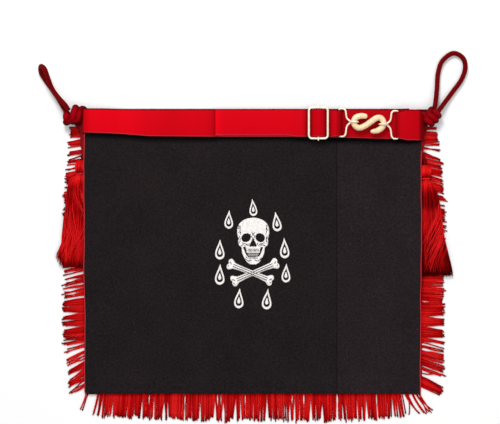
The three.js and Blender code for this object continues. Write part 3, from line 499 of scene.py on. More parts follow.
def threadsPiece(name, lines, radii, finish, shades, sides=3, extra=None):
    # many fine threads as one mesh; lines is threads x points x 3
    lines = np.asarray(lines, dtype=float)
    count, steps, _ = lines.shape
    radii = np.broadcast_to(np.asarray(radii, dtype=float), (count, steps))
    ahead = np.gradient(lines, axis=1)
    ahead /= np.maximum(1e-12, np.linalg.norm(ahead, axis=2))[:, :, None]
    level = np.cross(ahead, np.array([0.05, 0.02, 1.0]))
    level /= np.maximum(1e-12, np.linalg.norm(level, axis=2))[:, :, None]
    stand = np.cross(level, ahead)
    rings = []
    for j in range(sides):
        a = j * 2 * math.pi / sides - math.pi / 6
        rings.append(lines + radii[:, :, None] * (math.cos(a) * level + math.sin(a) * stand))
    points = np.stack(rings, axis=2).reshape(-1, 3)
    base = np.arange(count)[:, None, None] * steps * sides
    step = np.arange(steps - 1)[None, :, None] * sides
    j = np.arange(sides)[None, None, :]
    k = (j + 1) % sides
    quads = np.stack([base + step + j, base + step + sides + j, base + step + sides + k, base + step + k], axis=3)
    faces = [tuple(q) for q in quads.reshape(-1, 4).tolist()]
    ends = np.arange(count) * steps * sides
    for start in ends.tolist():
        faces.append(tuple(start + n for n in range(sides)))
        far = start + (steps - 1) * sides
        faces.append(tuple(far + n for n in reversed(range(sides))))
    shades = np.asarray(shades, dtype=float)
    if shades.ndim == 1:
        shades = np.repeat(shades[:, None], steps, axis=1)
    shade = np.repeat(shades.reshape(-1), sides)
    if extra:
        # a plain core under the threads, in a dark tone: painted shade between them
        corePoints, coreFaces = extra
        offset = len(points)
        points = np.vstack([points, np.array(corePoints)])
        faces += [tuple(offset + n for n in face) for face in coreFaces]
        shade = np.concatenate([shade, np.full(len(corePoints), 0.12)])
    return meshPiece(name, points, faces, finish, shade=shade)


# a face carried along a line with edit-mode tools, for wires, webbing and knots
def turnSelected(turning, centre):
    for axis, angle in zip("XYZ", turning.to_euler("XYZ")):
        if abs(angle) > 1e-6:
            bpy.ops.transform.rotate(value=-angle, orient_axis=axis, orient_type="GLOBAL", center_override=centre)


def carryFace(name, centres, steps, growths, finish, smoothAngle):
    # the selected face is extruded from point to point, turned with the line and resized
    piece = bpy.context.object
    piece.name = name
    heading = steps[0].normalized()
    turnSelected(Vector((0, 0, 1)).rotation_difference(heading), centres[0])
    for i in range(1, len(centres)):
        bpy.ops.mesh.extrude_region_move(TRANSFORM_OT_translate={"value": centres[i] - centres[i - 1]})
        after = steps[min(i, len(steps) - 1)]
        ahead = (steps[i - 1].normalized() + after.normalized()).normalized()
        turnSelected(heading.rotation_difference(ahead), centres[i])
        if max(abs(k - 1) for k in growths[i - 1]) > 1e-5:
            bpy.ops.transform.resize(value=growths[i - 1], center_override=centres[i])
        heading = ahead
    bpy.ops.mesh.select_all(action="SELECT")
    bpy.ops.mesh.normals_make_consistent(inside=False)
    bpy.ops.object.mode_set(mode="OBJECT")
    bpy.ops.object.transform_apply(location=True, rotation=True, scale=True)
    bpy.ops.object.shade_smooth_by_angle(angle=math.radians(smoothAngle))
    piece.data.materials.clear()
    piece.data.materials.append(finish)
    return piece


def carryRing(name, line, sizes, finish, sides=14):
    points = [Vector(p) for p in line]
    bpy.ops.object.select_all(action="DESELECT")
    bpy.ops.mesh.primitive_circle_add(vertices=sides, radius=sizes[0], fill_type="NGON", location=points[0])
    bpy.ops.object.mode_set(mode="EDIT")
    bpy.ops.mesh.select_all(action="SELECT")
    steps = [b - a for a, b in zip(points, points[1:])]
    growths = [(b / a, b / a, b / a) for a, b in zip(sizes, sizes[1:])]
    return carryFace(name, points, steps, growths, finish, 50)


def layOut(piece, line, sides, across):
    # a UV map in millimetres: the first number runs along the line
    run = runAlong(line) / mm
    mesh = piece.data
    for layer in list(mesh.uv_layers):
        mesh.uv_layers.remove(layer)
    uv = mesh.uv_layers.new(name="lay")
    for loop in mesh.loops:
        index = loop.vertex_index
        step = min(index // sides, len(run) - 1)
        uv.data[loop.index].uv = (run[step], across(mesh.vertices[index].co, index % sides, sides))


# how the cloth lies
layers = {
    "cloth": 2.0, "hem": 5.0, "hemRise": 0.4, "heading": 1.4, "clearance": 0.3,
    "cord": 5.8, "strap": 1.2, "levelEdge": 11.0, "ramp": 40.0, "bottomRamp": 15.0,
    "tasselFoot": 25.0, "footRamp": 38.0,
}
thinLift = layers["heading"] + layers["clearance"]
edgeLift = thinLift + layers["cord"] + layers["strap"] + 2 * layers["clearance"]
tasselRoom = edgeLift - thinLift - layers["clearance"]
layerStep = layers["strap"] + layers["clearance"]


def lift(x, y):
    high = smooth((y + layers["tasselFoot"] + layers["footRamp"]) / layers["footRamp"])
    side = thinLift + (edgeLift - thinLift) * high
    side *= smooth((abs(x) - (halfWidth - layers["levelEdge"] - layers["ramp"])) / layers["ramp"])
    low = smooth((-y - (halfHeight - layers["levelEdge"] - layers["bottomRamp"])) / layers["bottomRamp"])
    return max(side, thinLift * low)


# cords
print("cords")
cordSettings = {
    "diameter": 5.8,
    "step": 0.55,
    "roughPoints": 200,
    "pathPoints": 24,
    "routes": {
        "loop_cord_right": [
            (214.5, 166.0, 8.6), (216.8, 172.5, 8.2), (219.8, 193.5, 5.0), (221.5, 213.0, 3.1),
            (226.5, 227.5, 3.1), (240.0, 237.0, 3.1), (251.5, 231.0, 3.1), (254.0, 219.5, 3.1),
            (249.5, 205.5, 3.1), (239.5, 191.5, 3.3), (230.0, 178.8, 5.0), (224.0, 171.0, 7.6),
            (219.0, 164.5, 8.5),
        ],
        "loop_cord_left": [
            (-222.0, 165.0, 8.5), (-226.7, 171.9, 6.8), (-232.5, 181.5, 4.6), (-240.5, 193.0, 3.1),
            (-248.5, 204.5, 3.1), (-254.0, 214.0, 4.5), (-253.0, 220.5, 10.5), (-248.0, 217.0, 16.5),
            (-244.6, 207.5, 15.5), (-240.0, 194.0, 9.5), (-231.5, 182.5, 12.0), (-224.0, 174.4, 14.0),
            (-219.5, 167.5, 13.5),
        ],
        "tassel_cord_left": [
            (-210.4, 151.2, 6.0), (-203.0, 147.0, 4.6), (-197.5, 140.0, 4.6), (-195.5, 130.0, 4.6),
            (-199.3, 119.5, 4.6), (-205.0, 110.9, 5.3),
        ],
        "tassel_cord_right": [
            (209.0, 149.2, 6.0), (202.0, 142.2, 4.6), (197.0, 135.0, 4.6), (196.0, 123.0, 4.6),
            (199.5, 114.5, 4.6), (204.8, 109.0, 5.2), (205.8, 103.8, 5.3),
        ],
    },
}
for node, route in cordSettings["routes"].items():
    rough = curveThrough(rows(route), cordSettings["roughPoints"])
    length = float(np.linalg.norm(np.diff(rough, axis=0), axis=1).sum())
    line = curveThrough(rows(route), int(length / mm / cordSettings["step"]))
    piece = cordPiece(node + "_plait", line, cordSettings["diameter"] * mm, finishes["cord"])
    settle(piece, [node])
    print(node, "length", round(length, 4))


# the panel, two laid cloths that lap at the seam
print("panel")
panelSettings = {
    "seam": 103.0,
    "lap": 5.0,
    "step": 2.2,
    "wave": 0.16,  # how far the cloth rises and falls, away from the embroidery
    "hemStitch": 4.1,  # from the edge to the hem's stitches
    "stitchPitch": 2.6,
}


# how much of the webbing's width is out of sight above its lower edge, along the belt
towardsClasp = [(90, -0.02), (125, -0.05), (155, -0.08), (201.0, -0.1)]
lowerEdge = [(-201.0, 0.14), (-157.0, 0.10), (-125.0, 0.02), (-44.0, 0.0), (60, 0)] + towardsClasp
upperLowerEdge = [(-44.0, 0.045), (40.0, 0.045), (60.0, 0.0)] + towardsClasp


underBeltShade = {"darkest": 0.06, "from": 2.0, "over": 7.5}


def underBelt(x, y):
    # painted shadow: the cloth is darker close under the belt's lower edge, where no light reaches
    raised = readTable(lowerEdge if x < -44 else upperLowerEdge, x)
    below = halfHeight - 0.5 - beltWidth * (1 - raised) - y
    darkest = underBeltShade["darkest"]
    return darkest + (1 - darkest) * smooth((below - underBeltShade["from"]) / underBeltShade["over"])


def clothSheet(name, xs, ys, bottomAt, topAt, edgeAt, finish):
    nx, ny = len(xs), len(ys)
    points, faces, shade = [], [], []
    for heightAt in (bottomAt, topAt):
        for y in ys:
            for x in xs:
                dx, dy = edgeAt(x, y)
                points.append(at(x + dx, y + dy, heightAt(x, y)))
                shade.append(underBelt(x, y))
    top = nx * ny
    for j in range(ny - 1):
        for i in range(nx - 1):
            a, b, c, d = j * nx + i, j * nx + i + 1, (j + 1) * nx + i + 1, (j + 1) * nx + i
            faces.append((top + a, top + b, top + c, top + d))
            faces.append((a, d, c, b))
    for i in range(nx - 1):
        a, b = i, i + 1
        faces.append((a, b, top + b, top + a))
        a, b = (ny - 1) * nx + i, (ny - 1) * nx + i + 1
        faces.append((b, a, top + a, top + b))
    for j in range(ny - 1):
        a, b = j * nx + nx - 1, (j + 1) * nx + nx - 1
        faces.append((a, b, top + b, top + a))
        a, b = j * nx, (j + 1) * nx
        faces.append((b, a, top + a, top + b))
    return meshPiece(name, points, faces, finish, shade=shade)


def finer(low, high, step):
    return list(np.linspace(low, high, max(2, int(round((high - low) / step)) + 1)))


def edgeRows(half, hem):
    # close rows at a hem, from the edge inward
    return [half, half - 0.35, half - 1.0, half - 2.4, half - hem + 1.6, half - hem + 0.6, half - hem - 0.2]


def hemHeight(x, y):
    inside = min(halfWidth - abs(x), halfHeight - abs(y))
    hem = layers["hem"]
    rise = layers["hemRise"] * smooth((hem - inside) / 0.7)
    rolled = -0.55 * smooth(1 - inside / 0.9)  # the edge turns down
    return rise + rolled


def stitchDip(x, y):
    inside = min(halfWidth - abs(x), halfHeight - abs(y))
    line = math.exp(-((inside - panelSettings["hemStitch"]) / 0.5) ** 2)
    along = y if halfWidth - abs(x) < halfHeight - abs(y) else x
    return -0.16 * line * (0.6 + 0.4 * math.cos(2 * math.pi * along / panelSettings["stitchPitch"]))


def clothWave(x, y):
    away = smooth((math.hypot(x, y + 1) - 78) / 40)
    wave = math.sin(x / 37 + 1.3 * math.sin(y / 61)) + 0.7 * math.sin(y / 29 + x / 83 + 0.8)
    fine = 0.35 * math.sin(x / 9.0 + y / 23.0) * math.sin(y / 13.0 - 1.0)
    return panelSettings["wave"] * away * (wave + fine)


def seamPucker(x, y):
    # short creases that run sideways off the seam, deepest low on the panel
    reach = x - panelSettings["seam"]
    if reach < -14 or reach > 34:
        return 0.0
    fade = math.exp(-abs(reach) / (11.0 if reach > 0 else 5.0))
    low = 0.35 + 0.65 * smooth((20 - y) / 120)
    return 0.3 * fade * low * math.sin(y / 2.9 + 0.9 * math.sin(y / 11.0))


def edgeShift(x, y):
    # the sewn edges aren't quite straight
    dx = dy = 0.0
    if abs(abs(x) - halfWidth) < 6:
        dx = 0.28 * math.sin(y / 19.0) + 0.16 * math.sin(y / 6.5 + 1)
    if x > halfWidth - 6:
        dx -= 1.2
    if y < -halfHeight + 6:
        dy = 0.3 * math.sin(x / 23.0) + 0.2 * math.sin(x / 7.7)
    if y > halfHeight - 6:
        dy -= 2.0 * smooth((x - 160) / 20)
    return dx, dy


seamLeft = panelSettings["seam"] - panelSettings["lap"] / 2
seamRight = panelSettings["seam"] + panelSettings["lap"] / 2
tongue = (layers["cloth"] - layers["clearance"]) / 2


def topOf(x, y):
    return lift(x, y) + layers["cloth"] + hemHeight(x, y) + stitchDip(x, y)


def mainTop(x, y):
    if x >= seamLeft - 0.01:
        return lift(x, y) + tongue
    ease = smooth((seamLeft - x) / 1.2)
    return topOf(x, y) + clothWave(x, y) + seamPucker(x, y) - 0.5 * (1 - ease)


def sideTop(x, y):
    groove = 0.0
    for line in (seamLeft + 0.6, seamRight):
        groove += 0.42 * math.exp(-((x - line) / 0.55) ** 2)
    return topOf(x, y) + clothWave(x, y) + seamPucker(x, y) - groove


rowYs = sorted(
    [-y for y in edgeRows(halfHeight, 5)] + edgeRows(halfHeight, 5)
    + finer(-halfHeight + 7, halfHeight - 46, panelSettings["step"]) + finer(halfHeight - 45, halfHeight - 24, 1.2)
    + finer(halfHeight - 22, halfHeight - 7, panelSettings["step"])
)
leftXs = [-x for x in edgeRows(halfWidth, 5)] + finer(-halfWidth + 7, seamLeft - 2.4, panelSettings["step"])
leftXs += [seamLeft - 1.6, seamLeft - 0.9, seamLeft - 0.3, seamLeft, seamRight - 0.3]
rightXs = [seamLeft + 0.3, seamLeft + 0.7, seamLeft + 1.1, seamLeft + 1.7, seamLeft + 2.6, seamLeft + 3.6]
rightXs += [seamRight - 0.7, seamRight - 0.3, seamRight, seamRight + 0.4, seamRight + 0.9, seamRight + 1.6]
rightXs += finer(seamRight + 3, halfWidth - 7, panelSettings["step"]) + sorted(edgeRows(halfWidth, 5))

panelMain = clothSheet("panel_main_cloth", leftXs, rowYs, lift, mainTop, edgeShift, finishes["cloth"])
settle(panelMain, ["panel_main"])


def sideBottom(x, y):
    return lift(x, y) + (tongue + layers["clearance"] if x <= seamRight else 0)


panelSide = clothSheet("panel_side_cloth", rightXs, rowYs, sideBottom, sideTop, edgeShift, finishes["sideCloth"])
settle(panelSide, ["panel_side"])

pipingSettings = {"radius": 0.75, "out": 0.55, "sink": 0.9}
for side, name, top in ((-1, "piping_left", 140.0), (1, "piping_right", 120.0)):
    line = []
    for y in finer(-halfHeight + 1, top, 5.0):
        dx, _ = edgeShift(side * halfWidth, y)
        x = side * (halfWidth + pipingSettings["out"]) + dx
        line.append(at(x, y, lift(halfWidth, y) + pipingSettings["sink"])[:])
    count = len(line)
    piece = carryRing(name, line, [pipingSettings["radius"] * mm] * count, finishes["piping"], 8)
    layOut(piece, line, 8, lambda co, j, sides: j * 0.6)
    settle(piece, [])

tapeSettings = {"wide": 5.6, "from": 169.5, "to": 96.0, "thick": 0.9, "under": 6.0}
for side, name in ((-1, "heading_left"), (1, "heading_right")):
    ys = finer(tapeSettings["to"], tapeSettings["from"], 3.0)
    points, faces, shade = [], [], []
    for y in ys:
        reach = tapeSettings["wide"] * smooth((y - tapeSettings["to"] - 2) / 34) * (0.62 if side > 0 else 1.0)
        reach += (4.5 if side > 0 else 7.0) * smooth((y - 145) / 5)
        base = lift(halfWidth, y) - 1.1 - 2.2 * smooth((y - 140) / 16)
        for across, rise in ((-tapeSettings["under"], 0.35), (0.0, 0.3), (reach * 0.6, 0.1), (reach, -0.9)):
            for layer in (0, 1):
                x = side * (halfWidth + across)
                points.append(at(x, y, base + rise + layer * tapeSettings["thick"])[:])
                # ribs of the tape, and painted shade where it runs under the belt
                rib = 0.12 * math.sin(y * 2.1) + 0.1 * math.sin(y * 0.7)
                shade.append(0.42 + rib - 0.25 * smooth((y - 132) / 14))
    for i in range(len(ys) - 1):
        for k in range(3):
            a, b = i * 8 + k * 2, (i + 1) * 8 + k * 2
            faces += [(a, a + 2, b + 2, b), (a + 1, b + 1, b + 3, a + 3)]
        a, b = i * 8, (i + 1) * 8
        faces += [(a, b, b + 1, a + 1), (a + 6, a + 7, b + 7, b + 6)]
    for a, order in ((0, 1), ((len(ys) - 1) * 8, -1)):
        for k in range(3):
            q = (a + k * 2, a + k * 2 + 1, a + k * 2 + 3, a + k * 2 + 2)
            faces.append(q if order > 0 else tuple(reversed(q)))
    if side > 0:
        faces = [tuple(reversed(face)) for face in faces]
    piece = meshPiece(name, points, faces, finishes["tape"], shade=shade)
    settle(piece, [])


# the belt
print("belt")
belt = {
    "width": beltWidth, "thickness": 1.2, "inset": 0.5, "rightDrop": 1.2, "tuck": 10.0,
    "foldBeyondBar": 12.4, "shownFold": 44.0, "foldInset": 1.4, "climb": 4.0,
    "rightRaised": -0.11, "rightInset": 2.6, "rounding": 0.36, "rowPitch": 4.0,
}
slider = {"place": 77.7, "width": 25.0, "height": 39.5, "wire": 2.5, "bar": 2.1, "shift": -0.4, "corner": 4.0}
hook = {"place": 137.5, "drop": 18.0, "length": 41.0, "thickness": 7.0}
eye = {
    "wire": 2.1, "height": 35.2, "reach": 12.4, "neckSpan": 0.4,
    "leftRise": 2.2, "rightDrop": 0.6, "rightBarDrop": 2.9,
}
strapTop = halfHeight - belt["inset"]
beltMiddle = strapTop - belt["width"] / 2


def layerAt(x, layer):
    base = lift(x, beltMiddle) + layers["cloth"] + layers["clearance"] + layers["hemRise"]
    return base + layers["strap"] / 2 + layer * layerStep


sliderZ = layerAt(slider["place"], 3) + belt["thickness"] / 2 + layers["clearance"] + slider["wire"] / 2
sliderReach = (slider["width"] - slider["wire"]) / 2
eyeTurn = eye["wire"] / 2 + layers["clearance"] + belt["thickness"] / 2
ringRadius = (hook["thickness"] + eye["wire"]) / 2 + layers["clearance"]
neckReach = hook["length"] / 2 - hook["thickness"] / 2 + ringRadius + eye["neckSpan"]
leftNeck, rightNeck = hook["place"] - neckReach, hook["place"] + neckReach
leftBar, rightBar = leftNeck - eye["reach"], rightNeck + eye["reach"]
hiddenFold = rightBar + belt["foldBeyondBar"]
leftBarZ = layerAt(leftBar, 2) + eyeTurn
rightBarZ = layerAt(rightBar, 2) + eyeTurn
ringBed = max(layerAt(leftNeck, 1), layerAt(rightNeck - ringRadius, 1))
hookZ = ringBed + belt["thickness"] / 2 + layers["clearance"] + ringRadius + eye["wire"] / 2
hookY = strapTop - hook["drop"]


def halfTurn(x, z, radius, outward, fromTop, raised, inset=0.0, steps=12):
    out = []
    for angle in np.linspace(-math.pi / 2, math.pi / 2, steps + 1):
        way = -angle if fromTop else angle
        out.append((x + outward * radius * math.cos(way), z + radius * math.sin(way), raised, inset))
    return out


def roundEdge(outward, raised):
    edge = outward * halfWidth
    under = lift(edge, beltMiddle) - layers["clearance"] - belt["thickness"] / 2
    radius = (layerAt(edge, 0) - under) / 2
    out = [(outward * (halfWidth - belt["tuck"]), under, raised, 0.0)]
    return out + halfTurn(edge, under + radius, radius, outward, False, raised)


def ribbonPiece(name, path, upperEdge, finish, shadeAt):
    # the webbing's end face carried along its path; each row is x, z, raised share, inset
    path = [row for i, row in enumerate(path) if i == 0 or math.dist(row[:2], path[i - 1][:2]) > 0.02]
    centres = []
    for x, z, raised, inset in path:
        low = upperEdge - belt["width"] * (1 - raised) + inset
        centres.append(at(x, (low + upperEdge - inset) / 2, z))
    widths = [belt["width"] * (1 - raised) - 2 * inset for _, _, raised, inset in path]
    bpy.ops.object.select_all(action="DESELECT")
    bpy.ops.mesh.primitive_plane_add(size=1, location=centres[0])
    bpy.ops.object.mode_set(mode="EDIT")
    bpy.ops.mesh.select_all(action="SELECT")
    size = (belt["thickness"] * mm, widths[0] * mm, 1)
    bpy.ops.transform.resize(value=size, center_override=centres[0])
    bpy.ops.mesh.bevel(offset=belt["thickness"] * belt["rounding"] * mm, segments=3, affect="VERTICES")
    steps = [b - a for a, b in zip(centres, centres[1:])]
    for step in steps:
        step.y = 0
    growths = [(1, b / a, 1) for a, b in zip(widths, widths[1:])]
    piece = carryFace(name, centres, steps, growths, finish, 40)
    sides = len(piece.data.vertices) // len(centres)
    print(name, "rows", len(centres))
    upper = at(0, upperEdge, 0).y
    layOut(piece, centres, sides, lambda co, j, n: (upper - co.y) / mm)
    uv = piece.data.uv_layers["lay"]
    for loop in piece.data.loops:
        step = min(loop.vertex_index // sides, len(widths) - 1)
        u, v = uv.data[loop.index].uv
        uv.data[loop.index].uv = (u, (v - path[step][3]) * belt["width"] / widths[step])
    shades = [shadeAt(row[0], i / (len(path) - 1)) for i, row in enumerate(path)]
    layer = piece.data.attributes.new("shade", "FLOAT", "POINT")
    for i, value in enumerate(layer.data):
        value.value = shades[min(i // sides, len(shades) - 1)]
    return piece


def adjustingPath():
    path = roundEdge(-1, lowerEdge[0][1])
    for x in finer(-halfWidth + 6, hiddenFold, belt["rowPitch"]):
        path.append((x, layerAt(x, 0), readTable(lowerEdge, x), 0.0))
    raised = readTable(lowerEdge, hiddenFold)
    path += halfTurn(hiddenFold, layerAt(hiddenFold, 0.5), layerStep / 2, 1, False, raised)[1:]
    for x in finer(-belt["shownFold"] + 10, hiddenFold, belt["rowPitch"])[::-1][1:]:
        path.append((x, layerAt(x, 1), readTable(lowerEdge, x), 0.0))
    path += halfTurn(-belt["shownFold"], layerAt(0, 1.5), layerStep / 2, -1, False, upperLowerEdge[0][1])
    left, right = slider["place"] - sliderReach, slider["place"] + sliderReach
    under = layerAt(slider["place"], 3)
    over = sliderZ + (slider["bar"] + belt["thickness"]) / 2 + layers["clearance"]
    for x in finer(-belt["shownFold"] + 4, left - 20, belt["rowPitch"]):
        path.append((x, layerAt(x, 2), readTable(upperLowerEdge, x), 0.0))
    raised = readTable(upperLowerEdge, left)
    for x in finer(left - 16, left - 1, 1.5):
        rise = smooth((x - (left - 16)) / 15)
        path.append((x, layerAt(0, 2) + (under - layerAt(0, 2)) * rise, raised, 0.0))
    for share in np.linspace(-1, 1, 33):
        up = 0.5 + 0.5 * math.cos(math.pi * max(-1, min(1, share / 0.86)))
        x = slider["place"] + share * sliderReach
        path.append((x, under + up * (over - under), readTable(upperLowerEdge, x), 0.0))
    last = leftBarZ + eyeTurn
    for t in np.linspace(0, 1, 12)[1:-1]:
        x = right + (leftBar - right) * t
        z = under + (last - under) * smooth(t * 1.15)
        path.append((x, z, readTable(upperLowerEdge, x), belt["foldInset"] * smooth(t)))
    raised = readTable(upperLowerEdge, leftBar)
    path += halfTurn(leftBar, leftBarZ, eyeTurn, 1, True, raised, belt["foldInset"])
    path.append((right + (leftBar - right) / 2, layerAt(right, 2), 0.0, 0.0))
    path.append((right - 3, layerAt(right, 2), 0.0, 0.0))
    wrap = (slider["bar"] + belt["thickness"]) / 2 + layers["clearance"]
    for angle in np.linspace(-math.pi / 2, -math.pi * 1.05, 7):
        x = slider["place"] + wrap * math.cos(angle)
        path.append((x, sliderZ + wrap * math.sin(angle), 0.0, 0.0))
    return path


def shortPath():
    climb, low = belt["climb"], belt["rightRaised"]
    path = roundEdge(1, low)
    foldTop = layerAt(hiddenFold, 2) + belt["thickness"] / 2
    chosen = [
        path[-1],
        (halfWidth - climb, layerAt(halfWidth, 0.25), low, 0.0),
        (halfWidth - 2 * climb, layerAt(halfWidth, 1.2), low, 0.0),
        (hiddenFold + 0.75 * climb, foldTop + layers["clearance"], low, 0.0),
        (hiddenFold - climb / 2, layerAt(hiddenFold, 3.1), low, 0.0),
        (rightBar + climb, rightBarZ + eyeTurn + layers["clearance"], low, belt["rightInset"] * 0.6),
        (rightBar, rightBarZ + eyeTurn, low, belt["rightInset"]),
    ]
    flat = curveThrough([(c[0], c[1], c[3]) for c in chosen], 22)
    path += [(p[0], p[1], low, p[2]) for p in flat[1:-1]]
    path += halfTurn(rightBar, rightBarZ, eyeTurn, -1, True, low, belt["rightInset"])
    for x in (rightBar + climb, rightBar + 2 * climb):
        path.append((x, layerAt(x, 2), 0.0, 0.0))
    return path


beltPaintedShade = [
    # along the belt, tone: painted shade of the lower layer, darkest just left of the fold where the top layer shades
    # it
    (-201, 0.9), (-185, 1.0), (-150, 1.0), (-128, 0.88), (-96, 0.8), (-74, 0.86), (-60, 0.84), (-52, 0.8),
    (-46, 0.55), (-43, 0.55),
]
upperPaintedShade = [
    # the same for the layer on top: a painted highlight on the fold's rounded edge, painted shade past the slider and
    # at the turn round the left eye's bar
    (-45, 1.12), (-42, 1.08), (-38, 0.9), (0, 0.88), (40, 0.9), (58, 0.84), (66, 0.76), (88, 0.74), (98, 0.76),
    (106, 0.4), (112, 0.76), (125, 0.78),
]


def adjustingShade(x, share):
    # painted shade: the layer behind the clasp is darker, and so is the left end where the webbing turns round the
    # panel's edge
    behind = smooth((x - leftBar + 5) / 4)
    start = smooth((x + halfWidth + 3) / 5)
    tone = readTable(beltPaintedShade if x < -43 and share < 0.45 else upperPaintedShade, x)
    for bar in (slider["place"] - sliderReach, slider["place"] + sliderReach):
        # painted shade: hardly any light beside the slider's wires
        tone *= 1 - 0.62 * math.exp(-((abs(x - bar) - 2.3) / 2.2) ** 2) * (share > 0.45)
    return (0.4 + 0.6 * start) * (1 - 0.16 * behind) * tone


adjusting = ribbonPiece("adjusting_strap_webbing", adjustingPath(), strapTop, finishes["webbing"], adjustingShade)
settle(adjusting, ["adjusting_strap"])


def shortShade(x, share):
    # painted shade: darker where the webbing goes under the panel's edge, and behind the eye
    atEdge = 0.2 + 0.52 * smooth((halfWidth - 0.5 - x) / 5)
    return atEdge * (1 - 0.45 * smooth((rightBar + 4 - x) / 6))


short = ribbonPiece(
    "short_strap_webbing", shortPath(), strapTop - belt["rightDrop"], finishes["webbing"], shortShade
)
settle(short, ["short_strap"])


# slider and clasp
print("slider and clasp")


def wirePiece(name, chosen, radius, finish, count, sides=14, around=None):
    line = curveThrough(rows(chosen), count)
    sizes = [radius * mm] * count if around is None else [around(i / (count - 1)) * mm for i in range(count)]
    piece = carryRing(name, line, sizes, finish, sides)
    layOut(piece, line, sides, lambda co, j, n: abs(j * 2 / n - 1) * 4.5)
    return piece


def joined(name, pieces):
    bpy.ops.object.select_all(action="DESELECT")
    for piece in pieces:
        piece.select_set(True)
    bpy.context.view_layer.objects.active = pieces[0]
    bpy.ops.object.join()
    pieces[0].name = name
    return pieces[0]


middleY = beltMiddle + slider["shift"]
upReach = (slider["height"] - slider["wire"]) / 2
frameLine = []
for cx, cy, start in ((1, 1, 0), (-1, 1, 0.5), (-1, -1, 1), (1, -1, 1.5)):
    for angle in np.linspace(start * math.pi, (start + 0.5) * math.pi, 9):
        x = slider["place"] + cx * (sliderReach - slider["corner"]) + slider["corner"] * math.cos(angle)
        y = middleY + cy * (upReach - slider["corner"]) + slider["corner"] * math.sin(angle)
        frameLine.append(at(x, y, sliderZ)[:])
frameLine.append(frameLine[0])
wire = carryRing("slider_frame", frameLine, [slider["wire"] / 2 * mm] * len(frameLine), finishes["wire"], 16)
barReach = upReach + slider["wire"] / 2 + 1.5
barRows = [
    # share of the way out, radius: thicker where the bar is wrapped round the frame
    (-1, 0.45), (-0.95, 0.95), (-0.9, 1.35), (-0.84, 1.05), (0, 1.05), (0.84, 1.05), (0.9, 1.35),
    (0.95, 0.95), (1, 0.45),
]
barLine = [at(slider["place"], middleY + share * barReach, sliderZ)[:] for share, radius in barRows]
bar = carryRing("slider_bar", barLine, [radius * mm for share, radius in barRows], finishes["wire"], 14)
sliderPiece = joined("slider_wire", [wire, bar])
settle(sliderPiece, ["slider"])

snakeLine = [
    # from the head to the tail, as shares of the hook's length from its middle
    (-0.04, 0.205), (-0.15, 0.225), (-0.27, 0.22), (-0.385, 0.165), (-0.43, 0.055), (-0.39, -0.06),
    (-0.275, -0.12), (-0.105, -0.06), (0.07, 0.06), (0.235, 0.165), (0.35, 0.165), (0.43, 0.055),
    (0.405, -0.09), (0.27, -0.195), (0.055, -0.23),
]
snakeThick = [
    (0, 0.42), (0.008, 0.66), (0.02, 0.84), (0.06, 0.95), (0.15, 1.0), (0.9, 1.0), (0.96, 0.8), (0.985, 0.6),
    (1, 0.3),
]
chosen = [(hook["place"] + a * hook["length"], hookY + u * hook["length"], hookZ) for a, u in snakeLine]
snake = wirePiece(
    "snake_hook_cast", chosen, 3, finishes["cast"], 90, 22,
    lambda share: readTable(snakeThick, share) * hook["thickness"] / 2,
)
settle(snake, ["snake_hook"])

eyeLine = [
    # back from the neck and out to the side, as shares of the eye's reach and half height
    (0.0, 0.075), (0.15, 0.16), (0.3, 0.32), (0.37, 0.62), (0.42, 0.85), (0.58, 0.985), (0.8, 1), (0.97, 0.975),
]


def eyePiece(name, neck, outward, neckY, barY, barZ, ringX):
    def place(back, out, side):
        x = neck + outward * back * eye["reach"]
        z = hookZ + (barZ - hookZ) * min(1, back * 1.03)
        y = neckY + (barY - neckY) * min(1, back * 1.6) + side * out * (eye["height"] - eye["wire"]) / 2
        return (x, y, z)

    line = [place(1, 0, 1), place(1, 0.5, 1), place(1, 0.925, 1)]
    line += [place(back, out, 1) for back, out in reversed(eyeLine)]
    line += [place(back, out, -1) for back, out in eyeLine]
    line += [place(1, 0.925, -1), place(1, 0.5, -1), place(1, 0, -1)]
    arms = wirePiece(name + "_arms", line, eye["wire"] / 2, finishes["wire"], 110, 12)
    ring = []
    for angle in np.linspace(0, 2 * math.pi, 25):
        ring.append((ringX + ringRadius * math.cos(angle), neckY, hookZ + ringRadius * math.sin(angle)))
    loop = wirePiece(name + "_ring", ring, eye["wire"] / 2, finishes["wire"], 40, 12)
    stemXs = (ringX + outward * ringRadius, neck - outward * 0.2, neck + outward * 0.9)
    stemLine = [(x, neckY, hookZ) for x in stemXs]
    stem = wirePiece(name + "_stem", stemLine, eye["wire"] * 0.6, finishes["wire"], 8, 12)
    return joined(name, [arms, loop, stem])


ringInset = 0.43 * hook["length"]
leftEye = eyePiece(
    "eye_left_wire", leftNeck, -1, hookY + eye["leftRise"], beltMiddle, leftBarZ, hook["place"] - ringInset
)
settle(leftEye, ["eye_left"])
rightEye = eyePiece(
    "eye_right_wire", rightNeck, 1, hookY - eye["rightDrop"], beltMiddle - eye["rightBarDrop"], rightBarZ,
    hook["place"] + ringInset,
)
settle(rightEye, ["eye_right"])


# fringe
print("fringe")
fringe = {
    "length": 29.0, "show": 1.5, "heading": 10.0, "pitch": 1.38, "spread": 0.5, "thread": 0.31, "rest": 0.85,
    "steps": 9, "threads": 7,
    # how many strands a bundle has, where dense and where loose, and the slits between bundles
    "fullCounts": (2, 3, 4, 6, 9, 13), "looseCounts": (1, 2, 3, 4),
    "slits": (("tips", 1.0), ("tips", 0.45), ("tips", 0.7), ("top", 0.38), ("tips", 0.0)),
}


def slitShape(kind, t):
    # how wide a slit is along the strands: open at the tips or near the heading
    if kind == "tips":
        return smooth((t - 0.25) / 0.75)
    return math.sin(math.pi * min(1.0, t / 0.55)) ** 2


